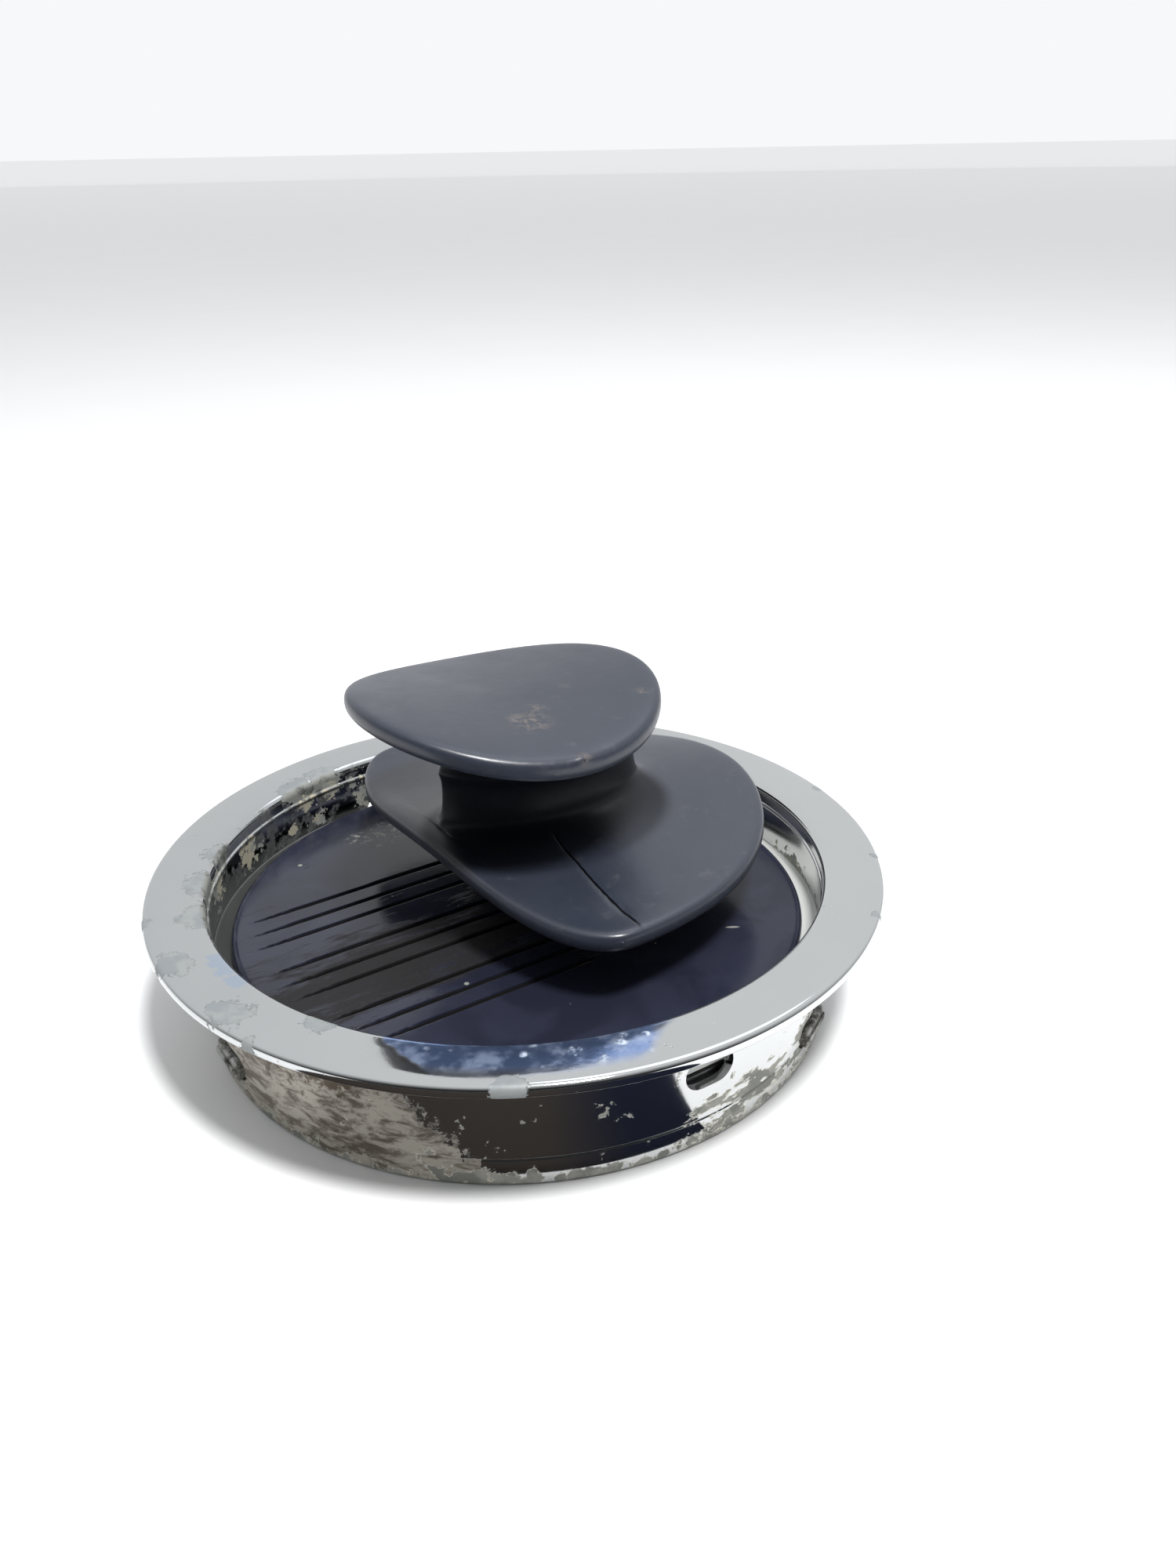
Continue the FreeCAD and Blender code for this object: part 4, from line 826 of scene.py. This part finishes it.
def build_grip():
    """One skin over both plates and the neck, with the crease and the moulding nub, and two posts."""
    spokes, around, upward = 32, 240, 200
    controls = grip_controls(2 * np.pi * np.arange(spokes) / spokes)
    skin = np.einsum("ur,vs,rsk->uvk", clamped_basis(len(controls), upward),
                     periodic_basis(spokes, around), controls)
    along, across, level = skin[..., 0], skin[..., 1], skin[..., 2]
    row = np.arange(upward)[:, None]
    upper_face = (smoothstep(0.22 * upward, 0.28 * upward, row)
                  * smoothstep(0.50 * upward, 0.42 * upward, row))
    front = smoothstep(-8.0, -13.0, across) * smoothstep(-33.5, -29.0, across)
    crease = np.exp(-((along - CREASE_START - CREASE_SLOPE * across) / 0.45) ** 2) * 0.22
    valley = np.exp(-((along - 1.0) / 5.0) ** 2) * 0.35
    skin[..., 2] = level - upper_face * front * (crease + valley)
    plan = np.array(turned_about_axis(skin[1:-1].reshape(-1, 3), GRIP_TURN))
    for centre, size, rise in (((10.4, -20.2, 48.9), 1.1, 0.7), ((12.2, -19.4, 49.0), 0.8, 0.4)):
        swell = rise * np.exp(-np.sum((plan - centre) ** 2, axis=1) / size ** 2)
        plan = plan + swell[:, None] * np.array([0.0, -0.55, 0.83])
    vertices = [tuple(point) for point in plan]
    faces = []
    for u in range(upward - 3):
        for v in range(around):
            w = (v + 1) % around
            faces.append((u * around + v, u * around + w, (u + 1) * around + w, (u + 1) * around + v))
    faces.append(tuple(reversed(range(around))))
    faces.append(tuple((upward - 3) * around + v for v in range(around)))
    for side in (-1, 1):
        x = -side * POST_SPREAD * math.sin(GRIP_TURN)
        y = side * POST_SPREAD * math.cos(GRIP_TURN)
        foot = DISC_TOP + 0.02
        post = rounded([(0.001, foot, 0), (POST_RADIUS, foot, 0.3), (POST_RADIUS, foot + 11.5, 1.2),
                        (5.6, foot + POST_HEIGHT, 0), (0.001, foot + POST_HEIGHT, 0)])
        post_vertices, post_faces = lathe(post, 64, (x, y))
        base = len(vertices)
        vertices += post_vertices
        faces += [tuple(i + base for i in face) for face in post_faces]
    return new_piece("finger_grip", vertices, faces, 60)


# ---------------------------------------------------------------- snap clips

def box_bars(corners, depth_steps):
    """A bar whose section (across, up) is swept over steps of (radius, scale)."""
    vertices, faces = [], []
    count = len(corners)
    for radius, scale in depth_steps:
        vertices += [(radius, across * scale, up * scale) for across, up in corners]
    for step in range(len(depth_steps) - 1):
        base = step * count
        faces += [(base + i, base + (i + 1) % count, base + (i + 1) % count + count, base + i + count)
                  for i in range(count)]
    faces.append(tuple(reversed(range(count))))
    faces.append(tuple(range((len(depth_steps) - 1) * count, len(depth_steps) * count)))
    return vertices, faces


def round_box(width, height, radius, steps=5):
    """The corners of a section with rounded corners."""
    corners = []
    for index, (x, z) in enumerate(((1, -1), (1, 1), (-1, 1), (-1, -1))):
        for step in range(steps + 1):
            a = math.radians(90 * (index - 1) + 90 * step / steps)
            corners.append((x * (width / 2 - radius) + radius * math.cos(a),
                            z * (height / 2 - radius) + radius * math.sin(a)))
    return corners


def build_clip(name, angle):
    """A sprung leaf with two rivet heads, and a domed and ridged tab that fills most of the slot."""
    parts = [
        box_bars(round_box(17.2, 2.6, 0.5), [(43.8, 0.98), (43.86, 1.0), (44.44, 1.0), (44.5, 0.98)]),
        box_bars(round_box(7.8, 3.4, 0.7), [(44.4, 0.9), (46.0, 0.92), (48.9, 1.0), (49.9, 1.0),
                                            (50.15, 0.96), (50.3, 0.88), (50.36, 0.74)]),
        box_bars(round_box(7.6, 0.8, 0.3), [(49.2, 1.0), (50.45, 1.0), (50.6, 0.96), (50.66, 0.86)]),
    ]
    for side in (-1, 1):
        head, head_faces = box_bars(round_box(2.4, 2.4, 1.19, 8),
                                    [(43.2, 0.7), (43.3, 0.9), (43.5, 1.0), (43.85, 1.0)])
        parts.append(([(r, across + side * RIVET_SPREAD, up) for r, across, up in head], head_faces))
    vertices, faces = [], []
    for part_vertices, part_faces in parts:
        base = len(vertices)
        raised = [(r, across, SLOT_LEVEL + up) for r, across, up in part_vertices]
        vertices += turned_about_axis(raised, angle)
        faces += [tuple(i + base for i in face) for face in part_faces]
    return new_piece(name, vertices, faces, 35)


# ---------------------------------------------------------------- assembly of the pieces

ring = build_ring()
ring.data.materials.append(chrome_look())
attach(ring, "drain")
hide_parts("trim_ring")

disc = build_disc()
disc.data.materials.append(disc_look())
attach(disc, "plug")
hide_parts("cover_disc")

grip = build_grip()
grip.data.materials.append(grip_look())
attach(grip, "plug")
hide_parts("grip")

clip_steel = dirty_steel_look()
for side, angle in (("back", 90), ("left", 210), ("right", 330)):
    clip = build_clip("sprung_clip_" + side, math.radians(angle))
    clip.data.materials.append(clip_steel)
    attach(clip, "drain")
    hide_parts("snap_clip_" + side)

steel = plain_look("aged_steel", (0.30, 0.30, 0.29), (0.46, 0.46, 0.45), 0.36, 1.0, 3.0, 0.04)
plastic = plain_look("moulded_black_plastic", (0.016, 0.016, 0.018), (0.035, 0.035, 0.038),
                     0.5, 0.0, 5.0, 0.05)
rubber = plain_look("black_rubber", (0.010, 0.010, 0.010), (0.026, 0.026, 0.026), 0.72, 0.0, 1.5, 0.04)
brass = plain_look("turned_brass", (0.50, 0.36, 0.14), (0.62, 0.47, 0.22), 0.28, 1.0, 2.0, 0.02, (1, 1, 6))
acetal = plain_look("white_acetal", (0.60, 0.59, 0.55), (0.72, 0.71, 0.67), 0.45, 0.0, 2.0, 0.02)
strainer = plain_look("brushed_strainer_steel", (0.34, 0.34, 0.34), (0.52, 0.52, 0.52),
                      0.33, 1.0, 2.5, 0.03, (0.15, 1, 1))
LOOKS = {
    "clip_hoop": plastic, "hub_spider": plastic, "clip_rivets": steel, "strainer_grate": strainer,
    "strainer_screws": steel, "lift_o_ring": rubber, "lift_collar": brass, "stem": brass,
    "stem_o_ring": rubber, "thrust_washer": acetal, "stem_washer": brass, "stem_circlip": steel,
    "disc_seal": rubber, "grip_screws": steel, "grip_washers": steel,
}
for node, material in LOOKS.items():
    mesh = NODES[node].data
    mesh.materials.clear()
    mesh.materials.append(material)

# ---------------------------------------------------------------- stage, light and camera

FLOOR_SIZE = 120.0
FLOOR_LEVEL = -0.0002


def pale_floor():
    half = FLOOR_SIZE / 2
    mesh = bpy.data.meshes.new("floor")
    corners = [(-half, -half, 0), (half, -half, 0), (half, half, 0), (-half, half, 0)]
    mesh.from_pydata(corners, [], [(0, 1, 2, 3)])
    floor = bpy.data.objects.new("floor", mesh)
    scene.collection.objects.link(floor)
    floor.location = (0, 0, FLOOR_LEVEL)
    look = Look("pale_floor", Roughness=0.9)
    colour = (0.88, 0.88, 0.88)
    look.set("Base Color", look.mix(look.noise(60.0, 2), colour, tuple(c * 0.97 for c in colour)))
    mesh.materials.append(look.material)


def dark_fan(name, low, high, near, far, level, left_colour, right_colour):
    """A dark sector of ground that only reflections see, by its degrees and its metres from the axis."""
    steps = 24
    vertices = []
    for step in range(steps + 1):
        a = math.radians(low + (high - low) * step / steps)
        vertices += [(r * math.cos(a), r * math.sin(a), level) for r in (near, far)]
    faces = [(2 * i, 2 * i + 1, 2 * i + 3, 2 * i + 2) for i in range(steps)]
    mesh = bpy.data.meshes.new(name)
    mesh.from_pydata(vertices, [], faces)
    fan = bpy.data.objects.new(name, mesh)
    scene.collection.objects.link(fan)
    fan.visible_camera = fan.visible_diffuse = fan.visible_shadow = fan.visible_transmission = False
    look = Look(name + "_look", Roughness=0.9, Specular_IOR_Level=0.0)
    slope = look.math("DIVIDE", look.x, look.total(look.math("ABSOLUTE", look.y), 1.0))
    look.set("Base Color", look.mix(look.step(slope, 0.0, 0.35), left_colour, right_colour))
    fan.data.materials.append(look.material)


def sky_dome(radius):
    """A soft room, bright behind and above and dark in front, that the camera does not see."""
    shape = bmesh.new()
    bmesh.ops.create_icosphere(shape, subdivisions=3, radius=radius)
    mesh = bpy.data.meshes.new("sky_dome")
    shape.to_mesh(mesh)
    shape.free()
    dome = bpy.data.objects.new("sky_dome", mesh)
    scene.collection.objects.link(dome)
    dome.visible_camera = False
    look = Look("sky_dome_look", Roughness=1.0, Specular_IOR_Level=0.0)
    look.set("Base Color", (0.0, 0.0, 0.0))
    reach = radius / MM
    lean = look.total(look.math("DIVIDE", look.z, reach),
                      look.times(look.math("DIVIDE", look.y, reach), 0.8))
    look.set("Emission Color", look.mix(look.step(lean, -0.2, 0.6), (0.95, 0.98, 1.0), (0.97, 0.985, 1.0)))
    look.set("Emission Strength", look.step(lean, -0.45, 0.9, 0.03, 0.90))
    mesh.materials.append(look.material)


pale_floor()
dark_fan("dark_ground", -132, -59, 0.0510, 1.2, 0.0004, (0.034, 0.029, 0.026), (0.010, 0.012, 0.021))
sky_dome(6.0)
world = bpy.data.worlds.new("pale_surround")
world.use_nodes = True
world.node_tree.nodes["Background"].inputs["Color"].default_value = (0.93, 0.94, 0.95, 1.0)
world.node_tree.nodes["Background"].inputs["Strength"].default_value = 1.0
scene.world = world


def area_light(name, power, size, place, target, colour=(1, 1, 1)):
    data = bpy.data.lights.new(name, "AREA")
    data.energy = power
    data.shape = "DISK"
    data.size = size
    data.color = colour
    lamp = bpy.data.objects.new(name, data)
    scene.collection.objects.link(lamp)
    lamp.location = place
    lamp.rotation_euler = (Vector(target) - Vector(place)).to_track_quat("-Z", "Y").to_euler()


area_light("overhead_light", 8.5, 0.16, (0.14, -0.28, 0.80), (0, 0, 0.02))
area_light("soft_panel", 0.9, 0.50, (0.23, 0.35, 0.79), (0, 0, 0.02), (0.80, 0.88, 1.0))

# The camera looks at the middle of the ring's top, then is rolled, panned and tilted a little.
ELEVATION = math.radians(28.79)
ROLL = math.radians(-2.797)
PAN = math.radians(3.067)
TILT = math.radians(-3.148)
DISTANCE = 3.7026 * FLANGE_RADIUS * MM
FOCAL_PIXELS = 1700.0
IMAGE_LONG_SIDE = 2000.0
SENSOR = 36.0

target = Vector((0, 0, RING_TOP * MM))
place = target + DISTANCE * Vector((0, -math.cos(ELEVATION), math.sin(ELEVATION)))
forward = (target - place).normalized()
right = forward.cross(Vector((0, 0, 1))).normalized()
up = right.cross(forward)
look_rows = Matrix((right, up, -forward))
roll_rows = Matrix(((math.cos(ROLL), math.sin(ROLL), 0), (-math.sin(ROLL), math.cos(ROLL), 0), (0, 0, 1)))
pan_rows = Matrix(((math.cos(PAN), 0, math.sin(PAN)), (0, 1, 0), (-math.sin(PAN), 0, math.cos(PAN))))
tilt_rows = Matrix(((1, 0, 0), (0, math.cos(TILT), -math.sin(TILT)), (0, math.sin(TILT), math.cos(TILT))))
to_camera = tilt_rows @ pan_rows @ roll_rows @ look_rows
camera_data = bpy.data.cameras.new("camera")
camera_data.sensor_fit = "AUTO"
camera_data.sensor_width = SENSOR
camera_data.lens = FOCAL_PIXELS / IMAGE_LONG_SIDE * SENSOR
camera_data.clip_start = 0.01
camera_data.clip_end = 20.0
camera = bpy.data.objects.new("camera", camera_data)
scene.collection.objects.link(camera)
camera.matrix_world = Matrix.Translation(place) @ to_camera.transposed().to_4x4()
scene.camera = camera

bpy.context.view_layer.update()
